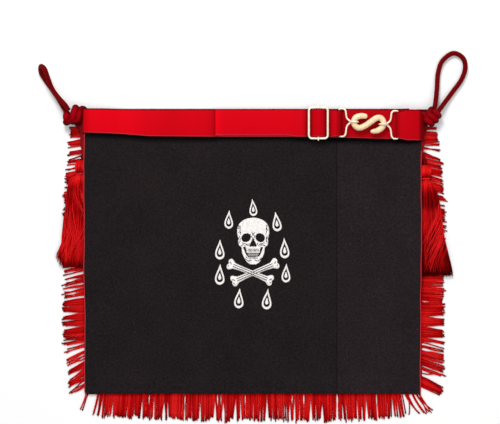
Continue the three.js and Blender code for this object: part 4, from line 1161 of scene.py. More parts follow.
def bundlesAlong(run, plan, chance):
    # bundles of strands from one end to the other, each with its place, count and the slit after it
    bundles = []
    place = fringe["pitch"] / 2
    while place < run - fringe["pitch"] / 2:
        share = place / run
        gap = [b for a, b in plan["gaps"] if a <= share < b]
        if gap:
            place = gap[0] * run + 0.01
            continue
        stops = [a * run for a, b in plan["gaps"] if a > share] + [run]
        full = readTable(plan["density"], share)
        count = chance.choice(fringe["fullCounts"] if full > 0.75 else fringe["looseCounts"])
        count = max(1, min(count, int((min(stops) - place) / fringe["pitch"])))
        kind, wide = chance.choice(fringe["slits"])
        slit = (kind, wide * readTable(plan["slit"], share) * chance.uniform(0.6, 1.1))
        bundles.append((place, count, full, slit))
        place += count * fringe["pitch"] + (1 - full) * chance.uniform(1.0, 4.4)
    return bundles


def fringePiece(name, node, start, end, out, plan, seed):
    # twisted strands side by side, in bundles that narrow slits part
    chance = random.Random(seed)
    start, end, out = Vector(start), Vector(end), Vector(out)
    along = (end - start).normalized()
    run = (end - start).length
    lines, radii, shades = [], [], []
    before = ("tips", 0.6)
    for place, count, full, slit in bundlesAlong(run, plan, chance):
        share = place / run
        loose = 1 - full
        bundleLean = chance.uniform(-1, 1) * (0.03 + 0.3 * loose)
        slant = chance.uniform(-0.22, 0.12) if count > 2 else 0.0
        bend = chance.uniform(-1, 1) * (0.03 + 0.2 * loose)
        bundleTone = chance.uniform(-0.07, 0.07)
        bundleReach = chance.uniform(0.95, 1.0)
        gather = chance.uniform(0.0, 0.1) + chance.uniform(0.3, 0.7) * loose
        for n in range(count):
            here = share + n * fringe["pitch"] / run
            lean = bundleLean + readTable(plan["lean"], here)
            reach = fringe["length"] * readTable(plan["reach"], here) * bundleReach * chance.uniform(0.87, 1.0)
            reach *= 1 + slant * (n / count - 0.5)
            tone = 0.56 + bundleTone + chance.uniform(-0.24, 0.24)
            high = chance.uniform(0.0, 0.4)
            twist = chance.uniform(3.0, 6.0)
            first = chance.uniform(0, 6.28)
            curl = bend + chance.uniform(-1, 1) * (0.02 + 0.12 * loose)
            wiggle = chance.uniform(-0.3, 0.3) * (1 + 3 * loose)
            toLeft = ((count - n) / count) ** 2
            toRight = ((n + 1) / count) ** 2
            fray = chance.uniform(0.1, 0.6)
            strand = []
            for k in range(fringe["steps"]):
                t = k / (fringe["steps"] - 1)
                aside = before[1] * slitShape(before[0], t) * toLeft - slit[1] * slitShape(slit[0], t) * toRight
                inward = (count / 2 - n - 0.5) * fringe["pitch"] * gather * smooth((t - 0.2) / 0.8)
                slide = place + (n + 0.5) * fringe["pitch"] + 0.6 * aside + inward
                slide += math.sin(lean) * reach * t + curl * reach * t * t + wiggle * math.sin(first + 4 * t) * t
                far = fringe["show"] - 4 + (math.cos(lean) * reach + 4) * t
                strand.append((slide, far, fringe["rest"] + high * smooth(t * 4) * (1 - 0.5 * t), t))
            for m in range(fringe["threads"]):
                spread = 0.0 if m == 0 else fringe["spread"]
                ends = chance.uniform(0.95, 1.0)
                line, thick, shade = [], [], []
                for slide, far, z, t in strand:
                    angle = first + 2 * math.pi * m / (fringe["threads"] - 1) + twist * t
                    wide = spread * (1 + fray * smooth((t - 0.8) / 0.2))
                    across = wide * math.cos(angle)
                    p = start + along * (slide + across * math.cos(lean))
                    p += out * (far * (ends if t > 0.9 else 1.0) - across * math.sin(lean))
                    line.append(at(p.x, p.y, max(0.31, z + 0.85 * wide * math.sin(angle)))[:])
                    thick.append(fringe["thread"] * mm * (1 - 0.35 * smooth((t - 0.85) / 0.15)))
                    edge = max(
                        toLeft * slitShape(before[0], t) * before[1],
                        toRight * slitShape(slit[0], t) * slit[1],
                    )
                    # painted shade near the heading, under the panel's edge; darker beside the slits and at the tips
                    dark = 0.3 * smooth((t - 0.82) / 0.18) + 0.22 * min(1.0, edge) + 0.2 * smooth((0.25 - t) / 0.12)
                    # threads on a strand's upper side are lighter: painted light
                    shade.append(unit(tone + 0.1 * math.sin(angle) - dark))
                lines.append(line)
                radii.append(thick)
                shades.append(shade)
        before = slit
    core = []
    for z in (0.05, 1.15):
        for a, o in ((0, -1), (run, -1), (run, 0), (0, 0)):
            p = start + along * a + out * (fringe["show"] + o * fringe["heading"])
            core.append(at(p.x, p.y, z)[:])
    faces = list(boxFaces)
    if along.cross(out).z < 0:
        faces = [tuple(reversed(face)) for face in faces]
    piece = threadsPiece(name, lines, radii, finishes["fringe"], shades, 3, (core, faces))
    settle(piece, [node])
    return piece


fringeTop = strapTop - belt["width"] * 0.6
fringePlans = {
    # tables along each edge, from 0 to 1: lean of the strands, their reach, how dense they are, gaps, slits' width
    "left": {
        "lean": [
            (0, 0.04), (0.06, 0.2), (0.12, 0.35), (0.17, 0.15), (0.3, 0.06), (0.55, 0.28), (0.62, 0.24), (0.67, 0.1),
            (0.8, 0.12), (0.85, 0.4), (0.9, 0.64), (0.97, 0.7), (1, 1.0),
        ],
        "reach": [(0, 0.64), (0.1, 0.8), (0.25, 0.93), (0.5, 0.95), (0.8, 0.95), (0.92, 0.85), (1, 0.95)],
        "density": [
            (0, 1), (0.07, 1), (0.09, 0.8), (0.15, 0.8), (0.2, 1), (0.56, 1), (0.57, 0.85), (0.65, 0.85), (0.66, 1),
            (0.78, 1), (0.8, 0.7), (0.86, 0.7), (0.88, 1), (0.96, 0.9), (0.98, 0.3),
        ],
        "gaps": [
            (0.041, 0.047), (0.072, 0.084), (0.107, 0.117), (0.133, 0.145), (0.157, 0.165), (0.553, 0.565),
            (0.652, 0.659), (0.85, 0.858), (0.886, 0.897),
        ],
        "slit": [(0, 3.2), (0.5, 3.2), (0.6, 4.2)],
    },
    "right": {
        "lean": [(0, 0.04), (0.1, 0.12), (0.2, 0.4), (0.25, 0.3), (0.3, 0.12), (0.78, 0.06), (0.9, 0.35), (1, 0.5)],
        "reach": [(0, 0.66), (0.1, 0.86), (0.25, 1.14), (0.4, 1.02), (0.8, 1.0), (0.92, 1.04), (1, 1.0)],
        "density": [
            (0, 1), (0.0565, 1), (0.0585, 0.4), (0.096, 0.4), (0.098, 1), (0.79, 1), (0.9, 1), (0.912, 0.4),
            (0.945, 0.4), (0.95, 1), (0.99, 1), (1, 0.3),
        ],
        "gaps": [(0.0115, 0.019), (0.0565, 0.06), (0.234, 0.245), (0.274, 0.294), (0.833, 0.84), (0.851, 0.857)],
        "slit": [(0, 0.6), (0.056, 0.8), (0.058, 3.0), (0.096, 3.0), (0.1, 0.5), (0.24, 0.8), (0.3, 3.4), (0.5, 4.2)],
    },
    "bottom": {
        "lean": [
            (0, -0.35), (0.04, -0.15), (0.2, -0.04), (0.34, 0.0), (0.78, 0.02), (0.9, 0.06), (0.95, 0.3), (1, 0.6),
        ],
        "reach": [(0, 0.75), (0.04, 1.0), (0.2, 1.09), (0.34, 1.18), (0.78, 1.18), (0.9, 1.07), (1, 0.95)],
        "density": [(0, 0.5), (0.0125, 0.5), (0.04, 1), (0.92, 1), (0.95, 0.3), (1, 0.2)],
        "gaps": [(0.0125, 0.036)],
        "slit": [(0, 3.4)],
    },
}
for side, word in ((-1, "left"), (1, "right")):
    top = (side * halfWidth, fringeTop, 0)
    foot = (side * halfWidth, -halfHeight + 8.8, 0)
    fringePiece("fringe_%s_threads" % word, "fringe_" + word, top, foot, (side, 0, 0), fringePlans[word], 21 + side)
fringePiece(
    "fringe_bottom_threads", "fringe_bottom", (-halfWidth, -halfHeight, 0), (halfWidth, -halfHeight, 0),
    (0, -1, 0), fringePlans["bottom"], 29,
)


# tassels
print("tassels")
tassel = {
    "head": 17.0, "headWidth": 15.0, "skirt": 112.0, "skirtWidth": 42.0, "threads": 1400, "thread": 0.3,
    "steps": 15, "headThreads": 90, "headThread": 0.42, "strays": 40, "strayThread": 0.3,
}
headRows = [(0, 0.45, 0.62), (0.1, 0.75, 0.85), (0.35, 1, 1), (0.65, 0.97, 1), (0.9, 0.8, 0.9), (1, 0.66, 0.8)]
skirtRows = [
    # down, left half width, right half width, height, aside
    (0, 0.44, 0.28, 0.72, 0.1), (0.06, 0.64, 0.46, 0.85, 0.14), (0.16, 0.78, 0.63, 0.95, 0.2),
    (0.35, 0.83, 0.76, 1, 0.3), (0.6, 0.9, 0.86, 0.95, 0.45), (0.85, 0.93, 0.98, 0.8, 0.7), (1, 0.88, 1.0, 0.6, 1),
]
tassels = {
    "left": {
        "side": -1, "x": -halfWidth - 5, "top": strapTop - 61, "lean": 7, "wide": 1, "seed": 39,
        "point": True, "sweep": 0.25, "long": 1.0,
        # bands: painted light and shade down the skirt, as shares down and tone
        "bands": [(0, 0.66), (0.07, 0.68), (0.13, 0.4), (0.4, 0.36), (0.5, 0.5), (0.7, 0.62), (1, 0.56)],
        # strays: from and to, as shares down and across
        "strays": [
            (0.12, 0.45, 0.2, -0.7), (0.2, 0.55, -0.3, -0.75), (0.5, 0.92, -0.75, 0.1), (0.6, 0.95, 0.3, 0.85),
            (0.3, 0.7, 0.75, 0.35),
        ],
    },
    "right": {
        "side": 1, "x": halfWidth + 5, "top": strapTop - 67, "lean": 12, "wide": 2, "seed": 41,
        "point": False, "sweep": 0.6, "long": 1.035,
        # bands: painted light and shade down the skirt, as shares down and tone
        "bands": [
            (0, 0.68), (0.1, 0.7), (0.15, 0.22), (0.27, 0.15), (0.36, 0.58), (0.5, 0.54), (0.6, 0.28), (1, 0.2),
        ],
        "strays": [(0.33, 0.75, 0.8, -0.3), (0.45, 0.88, 0.8, -0.47), (0.55, 0.97, 0.85, -0.3), (0.6, 1.0, 0.9, 0.0)],
    },
}


def ringFaces(rings, sides):
    # quads between rings of points, and a lid at each end
    faces = []
    for i in range(rings - 1):
        for j in range(sides):
            k = (j + 1) % sides
            faces.append((i * sides + j, i * sides + k, (i + 1) * sides + k, (i + 1) * sides + j))
    faces.append(tuple(reversed(range(sides))))
    faces.append(tuple(range((rings - 1) * sides, rings * sides)))
    return faces


def tasselHead(name, node, t):
    # silk laid lengthwise over a ball, tied off with a few turns at its neck
    chance = random.Random(t["seed"] + 7)
    thread = tassel["headThread"]
    middle = thinLift + tasselRoom / 2
    lines, shades, steps = [], [], 12
    for n in range(tassel["headThreads"]):
        angle = 2 * math.pi * (n + chance.uniform(0, 0.6)) / tassel["headThreads"]
        tone = chance.uniform(-0.22, 0.22)
        swirl = chance.uniform(0.1, 0.45)
        line, shade = [], []
        for k in range(steps):
            down = k / (steps - 1)
            half = tassel["headWidth"] * readTable(headRows, down, 1) / 2 - thread
            high = tasselRoom * readTable(headRows, down, 2) / 2 - thread
            a = angle + swirl * down
            y = t["top"] - down * tassel["head"]
            line.append(at(t["x"] + half * math.cos(a), y, middle + high * math.sin(a))[:])
            # painted highlight across the head's upper half, painted shade towards its neck
            paintedLightAndShade = 0.34 * math.exp(-((down - 0.38) / 0.24) ** 2) - 0.36 * smooth((down - 0.68) / 0.14)
            shade.append(unit(0.52 + tone + paintedLightAndShade))
        lines.append(line)
        shades.append(shade)
    for turn in (0.93, 0.965, 1.0):
        half = tassel["headWidth"] * readTable(headRows, turn, 1) / 2
        high = tasselRoom * readTable(headRows, turn, 2) / 2
        for part in range(2):
            # two half turns, so that they have as many points as a thread
            line = []
            for k in range(steps):
                a = (part + k / (steps - 1)) * math.pi
                y = t["top"] - turn * tassel["head"] + 0.3 * math.cos(a)
                line.append(at(t["x"] + half * math.cos(a), y, middle + high * math.sin(a))[:])
            lines.append(line)
            shades.append([0.8 + chance.uniform(-0.1, 0.1)] * steps)
    core, sides = [], 16
    for down, wide, high in headRows:
        for j in range(sides):
            a = j * 2 * math.pi / sides
            half = tassel["headWidth"] * wide / 2 - thread
            z = middle + (tasselRoom * high / 2 - thread) * math.sin(a)
            core.append(at(t["x"] + half * math.cos(a), t["top"] - down * tassel["head"], z)[:])
    extra = (core, ringFaces(len(headRows), sides))
    piece = threadsPiece(name, lines, thread * mm, finishes["tassel"], shades, 4, extra)
    settle(piece, [node])


def skirtAt(t, down):
    # the middle, half width and height of a lying skirt, and how high its underside is
    high = tasselRoom * readTable(skirtRows, down, 3)
    half = tassel["skirtWidth"] * readTable(skirtRows, down, t["wide"]) / 2
    middle = t["x"] + t["side"] * readTable(skirtRows, down, 4) * t["lean"]
    return middle, half, high, thinLift + (tasselRoom - high) * (0.5 if down < 0.3 else 0)


def tasselSkirt(name, node, t):
    chance = random.Random(t["seed"])
    skirtTop = t["top"] - tassel["head"] - 0.3
    steps = tassel["steps"]
    lines, radii, shades = [], [], []
    for n in range(tassel["threads"]):
        # a place on the flat oval of the skirt, denser near its outside
        a = chance.uniform(0, 2 * math.pi)
        r = math.sqrt(chance.uniform(0.45, 1.0))
        lock = int(a * 7)  # threads of one lock wave together
        drift = 0.16 * math.sin(lock * 2.4) + chance.gauss(0, 0.06)
        wave, phase = 1.6 * abs(math.sin(lock * 1.7)) + chance.uniform(0, 0.6), lock * 0.9 + chance.uniform(0, 1.2)
        pace = 4.0 + 3.0 * abs(math.sin(lock * 3.1)) + chance.uniform(-0.5, 0.5)
        length = tassel["skirt"] * t["long"] * chance.uniform(0.92, 1.0)
        tone = 0.13 * math.sin(lock * 2.9) + chance.gauss(0, 0.17)
        streak, streakAt = chance.uniform(-0.18, 0.18), chance.uniform(0, 6.28)
        point = t["point"] and math.cos(a) < -0.93 and math.sin(a) > -0.3
        length *= chance.uniform(0.88, 0.95) if point else 1.0
        sweep = t["sweep"] * (0.7 + 0.6 * math.sin(lock * 1.3))
        line, thick, shade = [], [], []
        for k in range(steps):
            share = k / (steps - 1)
            down = share * length / tassel["skirt"]
            middle, half, high, low = skirtAt(t, down)
            half *= 1 - 0.3 * (1 - smooth(down / 0.05)) + (0.3 * smooth((down - 0.74) / 0.16) if point else 0)
            angle = a + drift * 2 * share + sweep * smooth((share - 0.25) / 0.75) * math.sin(a)
            x = middle + (half - 0.5) * r * math.cos(angle) + wave * math.sin(phase + pace * share) * share
            z = low + high / 2 + (high / 2 - 0.5) * r * math.sin(angle)
            y = skirtTop - down * tassel["skirt"] + 0.8 * math.sin(phase + 3 * share) * share
            line.append(at(x, y, max(thinLift + 0.3, z))[:])
            thick.append(tassel["thread"] * mm * (1 - 0.4 * smooth((share - 0.85) / 0.15)))
            # painted light and shade: bands down the skirt, streaks along each thread and dark gaps between locks,
            # over a random tone per thread; darker tips
            value = readTable(t["bands"], down) + tone + streak * math.sin(streakAt + 7 * share)
            value -= 0.22 * max(0.0, math.sin(lock * 5.1 + 3.5 * share) - 0.3)
            shade.append(unit(value - 0.2 * smooth((share - 0.93) / 0.07)))
        lines.append(line)
        radii.append(thick)
        shades.append(shade)
    for n in range(tassel["strays"]):
        # threads that cross the others on top, lighter than them: painted light; darker low on the right tassel:
        # painted shade
        fromDown, toDown, fromAcross, toAcross = t["strays"][n % len(t["strays"])]
        shift, slide = chance.uniform(-0.1, 0.06), chance.uniform(-0.35, 0.35)
        bow = chance.uniform(-0.15, 0.15)
        line, thick, shade = [], [], []
        for k in range(steps):
            share = k / (steps - 1)
            down = min(0.99, max(0.02, fromDown + (toDown - fromDown) * share + shift))
            middle, half, high, low = skirtAt(t, down)
            u = fromAcross + (toAcross - fromAcross) * smooth(share) + slide + bow * math.sin(math.pi * share)
            u = t["side"] * min(0.93, max(-0.93, u))
            z = low + high / 2 + (high / 2 - 0.1) * math.sqrt(1 - u * u) + 0.15 - 0.6 * (abs(2 * share - 1) ** 6)
            line.append(at(middle + half * u, skirtTop - down * tassel["skirt"], z)[:])
            thick.append(tassel["strayThread"] * mm * (1 - 0.5 * abs(2 * share - 1) ** 3))
            dark = 0.24 * smooth((down - 0.6) / 0.3) * (t["side"] > 0)
            shade.append(min(1, 0.96 - dark + chance.uniform(-0.04, 0.04)))
        lines.append(line)
        radii.append(thick)
        shades.append(shade)
    core, sides, places = [], 18, (0, 0.06, 0.16, 0.35, 0.6, 0.85, 0.93)
    for down in places:
        middle, half, high, low = skirtAt(t, down)
        for j in range(sides):
            a = j * 2 * math.pi / sides
            x = middle + 0.8 * half * math.cos(a)
            core.append(at(x, skirtTop - down * tassel["skirt"], low + high / 2 + high / 2 * 0.7 * math.sin(a))[:])
    extra = (core, ringFaces(len(places), sides))
    piece = threadsPiece(name, lines, radii, finishes["tassel"], shades, 3, extra)
    settle(piece, [node])


for word, t in tassels.items():
    tasselHead("tassel_%s_winding" % word, "tassel_%s_head" % word, t)
    tasselSkirt("tassel_%s_threads" % word, "tassel_%s_skirt" % word, t)


# knots
print("knots")
knots = {
    # each wrap: middle x and y, half its length, the way it runs, and its cord's width
    "left": {
        "wraps": [
            (-207.8, 161.2, 7.0, (0.22, 1), 7.0), (-213.8, 163.2, 8.0, (0.26, 1), 8.6),
            (-222.6, 158.9, 5.2, (0.06, 1), 8.0),
        ],
        "middle": 10.0, "deep": 4.2,
        "tail": [(-197.0, 164.0, 5.0), (-200.0, 168.6, 7.0), (-203.6, 170.8, 10.8), (-206.5, 169.0, 12.5)],
        "core": (3.0, 5.4, 6.4, 5.6, 3.2),
    },
    "right": {
        "wraps": [
            (208.9, 155.0, 5.2, (0.8, -0.6), 7.6), (212.6, 160.5, 6.8, (0.78, -0.62), 8.0),
            (217.2, 165.4, 5.6, (0.74, -0.67), 7.6),
        ],
        "middle": 8.8, "deep": 3.9,
        "tail": [(199.5, 163.5, 10.5), (203.0, 163.5, 12.4)],
        "core": (2.4, 4.4, 5.2, 4.4, 2.4),
    },
}
wrapTurn = [
    # one turn of a wrap: along it, and up
    (-1, 0.0), (-0.62, -0.75), (0, -1), (0.62, -0.75), (1, 0.0), (0.62, 0.75), (0, 1), (-0.62, 0.75),
]
for word, k in knots.items():
    finish = finishes["knot" + word.title()]
    chosen, thick = [], []
    for x, y, half, way, width in k["wraps"]:
        w = Vector((*way, 0)).normalized()
        for share, rise in wrapTurn:
            chosen.append((x + w.x * half * share, y + w.y * half * share, k["middle"] + k["deep"] * rise))
            thick.append(width / 2)
    chosen = k["tail"] + chosen[4:]
    thick = [2.9] * len(k["tail"]) + thick[4:]
    places = np.linspace(0, 1, len(thick))
    coil = wirePiece(
        "knot_%s_coil" % word, chosen, 3, finish, 170, 16,
        lambda share: float(np.interp(share, places, thick)) * (0.8 + 0.2 * smooth(min(share, 1 - share) * 25)),
    )
    first, last = k["wraps"][0], k["wraps"][-1]
    coreLine = []
    for t in (0.0, 0.15, 0.5, 0.85, 1.0):
        coreLine.append(at(first[0] + (last[0] - first[0]) * t, first[1] + (last[1] - first[1]) * t, k["middle"])[:])
    core = carryRing("knot_%s_core" % word, coreLine, [v * mm for v in k["core"]], finish, 16)
    layOut(core, coreLine, 16, lambda co, j, n: abs(j * 2 / n - 1) * 9)
    piece = joined("knot_%s_cord" % word, [coil, core])
    settle(piece, ["knot_" + word])


# embroidery
print("embroidery")
emblem = {
    "base": 2.2, "drop": 1.0, "reach": 68.0, "tear": (12.0, 24.5), "skull": 56.5,
    "pitch": 0.42, "thread": 0.26, "stitch": 6.5, "smallStitch": 1.6,
    "edge": 1.6, "edgeShare": 0.35, "dip": 0.22, "toneSpread": 0.22, "padBand": 0.9, "padInset": 0.2,
}
quarter = 1.571  # a quarter turn, near enough


def spansAt(outline, holes, v):
    # where a straight line at height v crosses the shape, as pairs
    crossings = []
    for ring in [outline] + holes:
        for i, a in enumerate(ring):
            b = ring[(i + 1) % len(ring)]
            if (a[1] > v) != (b[1] > v):
                t = (v - a[1]) / (b[1] - a[1])
                crossings.append(a[0] + t * (b[0] - a[0]))
    crossings.sort()
    return list(zip(crossings[::2], crossings[1::2]))


def turned(points, angle):
    c, s = math.cos(angle), math.sin(angle)
    return [(p[0] * c - p[1] * s, p[0] * s + p[1] * c) for p in points]


def satin(outline, holes, angle, height, chance, pitch=None, longest=None, tone=0.55):
    # side by side stitches across a shape, turned by angle; wide spans are split
    pitch = pitch or emblem["pitch"]
    longest = longest or emblem["stitch"]
    ring = turned(outline, -angle)
    inner = [turned(hole, -angle) for hole in holes]
    ys = [p[1] for p in ring]
    lines, shades = [], []
    v = min(ys) + pitch / 2
    while v < max(ys):
        for a, b in spansAt(ring, inner, v):
            if b - a < 0.35:
                continue
            cuts = [a]
            if b - a > longest * 1.4:
                place = a + chance.uniform(0.4, 1.0) * longest
                while place < b - longest * 0.3:
                    cuts.append(place)
                    place += longest * chance.uniform(0.85, 1.15)
            cuts.append(b)
            for u0, u1 in zip(cuts, cuts[1:]):
                line = []
                for k in range(6):
                    t = k / 5
                    u = u0 + (u1 - u0) * t
                    edge = min(u - a, b - u)
                    low = emblem["edgeShare"]
                    crown = height * (low + (1 - low) * smooth(edge / emblem["edge"]))
                    dip = emblem["dip"] * (1 - smooth(min(t, 1 - t) * 5))
                    line.append((u, v + chance.uniform(-0.03, 0.03), crown - dip))
                flat = turned(line, angle)
                lines.append([(p[0], p[1], q[2]) for p, q in zip(flat, line)])
                shades.append(unit(tone + chance.uniform(-emblem["toneSpread"], emblem["toneSpread"])))
        v += pitch
    return lines, shades


def lineStitches(points, height, chance, tone):
    # small stitches end to end along a line
    lines, shades = [], []
    for a, b in zip(points, points[1:]):
        count = max(1, int(math.dist(a, b) / emblem["smallStitch"]))
        for n in range(count):
            t0, t1 = n / count, (n + 1.1) / count
            line = []
            for k in range(6):
                t = t0 + (t1 - t0) * k / 5
                bulge = 0.12 * math.sin(math.pi * k / 5)
                line.append((a[0] + (b[0] - a[0]) * t, a[1] + (b[1] - a[1]) * t, height + bulge))
            lines.append(line)
            shades.append(unit(tone + chance.uniform(-0.2, 0.2)))
    return lines, shades


def pad(outline, holes, height, centreX, centreY, tilt):
    # the plain padding under the stitches, as points and faces; cut by bands
    points, faces = [], []
    ys = [p[1] for p in outline]
    inset = emblem["padInset"]
    v, last = min(ys) + 0.15, max(ys) - 0.15
    while v < last:
        top = min(v + emblem["padBand"], last)
        low, high = spansAt(outline, holes, v + 1e-4), spansAt(outline, holes, top - 1e-4)
        if len(low) == len(high):
            for (a0, a1), (b0, b1) in zip(low, high):
                if min(a1 - a0, b1 - b0) > 0.5:
                    start = len(points)
                    corners = turned([(a0 + inset, v), (a1 - inset, v), (b1 - inset, top), (b0 + inset, top)], tilt)
                    for z in (0.0, height):
                        for x, y in corners:
                            points.append(at(x + centreX, y + centreY, emblem["base"] + z)[:])
                    for face in boxFaces:
                        faces.append(tuple(start + n for n in face))
        v = top
    return points, faces


def placed(lines, centreX, centreY, tilt):
    out = []
    for line in lines:
        flat = turned(line, tilt)
        out.append([at(p[0] + centreX, p[1] + centreY, emblem["base"] + q[2])[:] for p, q in zip(flat, line)])
    return out


def tearOutline(size, scale, drop=0.0, bend=0.0, count=28):
    # a flame: round below, drawn in above, its tip bent to one side
    width, length = emblem["tear"]
    points = []
    for i in range(count):
        a = i * 2 * math.pi / count
        bulge = 1.42 * math.sin(a) * abs(math.sin(a / 2)) ** 2.1 * (1 + 0.03 * math.sin(3 * a + 7 * bend))
        x = size * scale * width * bulge / 2 + bend * width * max(0.0, math.cos(a)) ** 2
        points.append((x, size * (scale * length * math.cos(a) / 2 - drop * length)))
    return points[::-1]


tears = [
    # across, up, tilt, size, bend of the tip
    (0, 0.79, 0.04, 0.87, -0.1), (-0.43, 0.578, 0, 0.94, 0.07), (0.413, 0.543, 0.1, 1, -0.06),
    (-0.588, 0.05, 0, 1.02, 0.04), (0.554, 0.075, 0.02, 1.04, -0.05), (-0.588, -0.39, -0.02, 1.05, 0.03),
    (0.579, -0.365, -0.02, 0.96, 0.03), (-0.25, -0.81, -0.04, 1.02, 0.06), (0.244, -0.824, -0.07, 1.05, 0.05),
]
for i, (across, up, tilt, size, bend) in enumerate(tears):
    chance = random.Random(60 + i)
    outer, rim = tearOutline(size, 1, 0, bend), tearOutline(size, 0.66, 0.06, bend * 0.5)
    core = tearOutline(size, 0.34, 0.10)
    centreX, centreY = across * emblem["reach"], up * emblem["reach"] - emblem["drop"]
    lines, shades = satin(outer, [rim], 0.0, 0.62, chance)
    more, moreShades = satin(core, [], 0.0, 0.5, chance)
    base = pad(outer, [rim], 0.35, centreX, centreY, tilt)
    coreBase = pad(core, [], 0.3, centreX, centreY, tilt)
    offset = len(base[0])
    extra = (base[0] + coreBase[0], base[1] + [tuple(offset + n for n in f) for f in coreBase[1]])
    piece = threadsPiece(
        "tear_%d_stitches" % (i + 1), placed(lines + more, centreX, centreY, tilt),
        emblem["thread"] * mm, finishes["stitch"], shades + moreShades, 4, extra,
    )
    settle(piece, ["tear_%d" % (i + 1)])

s = emblem["skull"]


def sized(points, k=1.0, lift=0.0):
    # points given as shares of the skull's height, in millimetres
    return [(x * k * s, (y * k + lift) * s) for x, y in points]


skullHalf = [
    (0, 0.5), (0.07, 0.493), (0.13, 0.478), (0.19, 0.455), (0.245, 0.42), (0.295, 0.37), (0.325, 0.31), (0.34, 0.24),
    (0.34, 0.17), (0.328, 0.11), (0.312, 0.05), (0.318, 0.0), (0.315, -0.045), (0.3, -0.09), (0.262, -0.115),
    (0.242, -0.15), (0.24, -0.2), (0.232, -0.26), (0.205, -0.325), (0.165, -0.4), (0.12, -0.455), (0.06, -0.49),
]
skullRing = [(x * s, y * s) for x, y in skullHalf] + [(-x * s, y * s) for x, y in reversed(skullHalf[1:])]
skullRing = skullRing[::-1]


def oval(x, y, width, height, count=20, lean=0.0):
    out = []
    for i in range(count):
        a = i * 2 * math.pi / count
        px, py = width / 2 * math.cos(a), height / 2 * math.sin(a)
        out.append((x + px, y + py + lean * px))
    return out


sockets = [oval(side * 0.149 * s, 0.074 * s, 0.2 * s, 0.188 * s, lean=-0.12 * side) for side in (-1, 1)]
noseHole = [
    (0, 0.03), (-0.03, -0.02), (-0.055, -0.075), (-0.045, -0.1), (-0.012, -0.09), (0, -0.105), (0.012, -0.09),
    (0.045, -0.1), (0.055, -0.075), (0.03, -0.02),
]
noseHole = sized(noseHole, 1.35, 0.014)
grinHalf = [
    # the open mouth and the gap beside the jaw, from the middle of the upper teeth round to the lower ones
    (0.0, -0.245), (0.115, -0.245), (0.142, -0.243), (0.14, -0.2), (0.158, -0.14), (0.175, -0.122), (0.207, -0.126),
    (0.2, -0.16), (0.184, -0.205), (0.163, -0.26), (0.142, -0.3), (0.11, -0.33), (0.05, -0.337), (0.0, -0.338),
]
grin = grinHalf + [(-x, y) for x, y in reversed(grinHalf[1:-1])]
mouthHole = sized(grin)
mouthBack = sized([(-0.12, -0.262), (0.12, -0.262), (0.1, -0.3), (0.05, -0.32), (-0.05, -0.32), (-0.1, -0.3)])
skullHoles = sockets + [noseHole, mouthHole]
chance = random.Random(83)
lines, shades = satin(skullRing, skullHoles, 0.12, 0.66, chance, tone=0.6)
lowerTeeth = sized([(-0.125, -0.257), (0.125, -0.257), (0.105, -0.325), (-0.105, -0.325)])
toothLines, toothShades = satin(lowerTeeth, [], quarter, 0.42, chance, pitch=1.25, tone=0.35)
lines += toothLines
shades += toothShades
skullX, skullY = 0.0, 12.8 - emblem["drop"]
base = pad(skullRing, skullHoles, 0.4, skullX, skullY, 0.0)
skullPiece = threadsPiece(
    "skull_stitches", placed(lines, skullX, skullY, 0), emblem["thread"] * mm, finishes["stitch"], shades, 4, base,
)
settle(skullPiece, ["skull"])

# dark threads: temples, brow, cheekbones, teeth and jaw
sideMarks = [
    [(0.30, 0.33), (0.275, 0.27), (0.285, 0.2), (0.265, 0.14)],
    [(0.3, 0.12), (0.275, 0.06), (0.28, 0.0)],
    [(0.24, -0.03), (0.17, -0.055), (0.11, -0.09)],
    [(0.035, 0.19), (0.0, 0.15), (-0.02, 0.12)],
    [(0.025, 0.09), (0.012, 0.06), (0.02, 0.03)],
    [(0.255, -0.1), (0.225, -0.075), (0.2, -0.08)],
    [(0.17, -0.37), (0.1, -0.42), (0.04, -0.405)],
]
marks = [[(side * x, y) for x, y in mark] for side in (-1, 1) for mark in sideMarks]
for n in range(-4, 5):
    marks.append([(n * 0.027, -0.16), (n * 0.027, -0.215)])
for n in range(-3, 4):
    marks.append([(n * 0.029, -0.34), (n * 0.029, -0.375)])
speckled = [
    # middle across and up, spread across and up, how many; on both sides
    (0.29, 0.26, 0.025, 0.09, 7), (0.29, 0.04, 0.02, 0.06, 4), (0.13, -0.06, 0.07, 0.03, 5),
    (0.05, 0.14, 0.04, 0.03, 2), (0.15, -0.36, 0.06, 0.05, 5), (0.2, -0.1, 0.03, 0.04, 3),
]
for x, y, wide, high, count in speckled:
    for side in (-1, 1):
        for n in range(count):
            px, py = x + chance.uniform(-wide, wide), y + chance.uniform(-high, high)
            endX = px + chance.uniform(-0.012, 0.012)
            marks.append([(side * px, py), (side * endX, py - chance.uniform(0.014, 0.03))])
darkLines, darkShades = [], []
for mark in marks:
    more, tonesOf = lineStitches(sized(mark), 0.86, chance, tone=0.3)
    darkLines += more
    darkShades += tonesOf
greyLines, greyShades = satin(mouthBack, [], quarter, 0.3, chance, pitch=0.9, tone=0.8)
darkLines += greyLines
darkShades += greyShades
markPiece = threadsPiece(
    "skull_marks", placed(darkLines, skullX, skullY, 0), 0.36 * mm, finishes["inkThread"], darkShades, 4,
)
settle(markPiece, [])


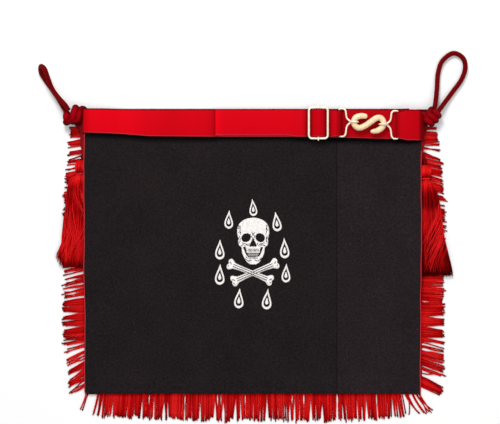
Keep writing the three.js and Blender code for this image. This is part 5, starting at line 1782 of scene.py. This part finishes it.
def boneOutline(length, width, knob):
    # a shaft that narrows at its middle, with two rounded lobes at each end
    half = length / 2
    right = []
    for a in np.linspace(-2.2, 0.9, 9):
        right.append((half + knob * 0.42 * math.cos(a), -knob * 0.44 + knob * 0.5 * math.sin(a)))
    for a in np.linspace(-0.9, 2.2, 9):
        right.append((half + knob * 0.42 * math.cos(a), knob * 0.44 + knob * 0.5 * math.sin(a)))
    top = [(half * share, width * wide) for share, wide in ((0.78, 0.52), (0.3, 0.44), (-0.3, 0.44), (-0.78, 0.52))]
    left = [(-x, -y) for x, y in right]
    return right + top + left + [(-x, -y) for x, y in top]


bone = {"width": 6.4, "knob": 7.2, "drop": 24.4}
boneSet = [
    # tilt, middle across, length, lift
    (0.4, 2.0, 54.5, 0.0), (-0.385, -3.5, 52.0, 0.32),
]
boneY = -bone["drop"] - emblem["drop"]
chance = random.Random(97)
allLines, allShades, basePoints, baseFaces, lineMarks, markShades = [], [], [], [], [], []
for angle, boneX, length, lifted in boneSet:
    ring = boneOutline(length, bone["width"], bone["knob"])
    lines, shades = satin(ring, [], 1.25, 0.62, chance, longest=9.0)
    lines = [[(p[0], p[1], p[2] + lifted) for p in line] for line in lines]
    allLines += placed(lines, boneX, boneY, angle)
    allShades += shades
    points, faces = pad(ring, [], 0.36 + lifted, boneX, boneY, angle)
    baseFaces += [tuple(len(basePoints) + n for n in face) for face in faces]
    basePoints += points
    half = length / 2
    drawn = [[(-half + 4, side * 1.3), (0, side * 1.2), (half - 4, side * 1.3)] for side in (-1, 1)]
    for end in (-1, 1):
        drawn.append([(end * (half + 1.5), 2.2), (end * (half - 0.5), 1.6), (end * (half - 1.2), 0.2)])
        drawn.append([(end * (half + 1.8), -2.4), (end * (half + 0.4), -2.8)])
    for mark in drawn:
        more, tonesOf = lineStitches(mark, 0.74 + lifted, chance, tone=0.2)
        lineMarks += placed(more, boneX, boneY, angle)
        markShades += tonesOf
bonePiece = threadsPiece(
    "crossbones_stitches", allLines, emblem["thread"] * mm, finishes["stitch"], allShades, 4, (basePoints, baseFaces),
)
settle(bonePiece, ["crossbones"])
boneMarks = threadsPiece("crossbones_marks", lineMarks, 0.48 * mm, finishes["inkThread"], markShades, 4)
settle(boneMarks, [])

print("finishing")
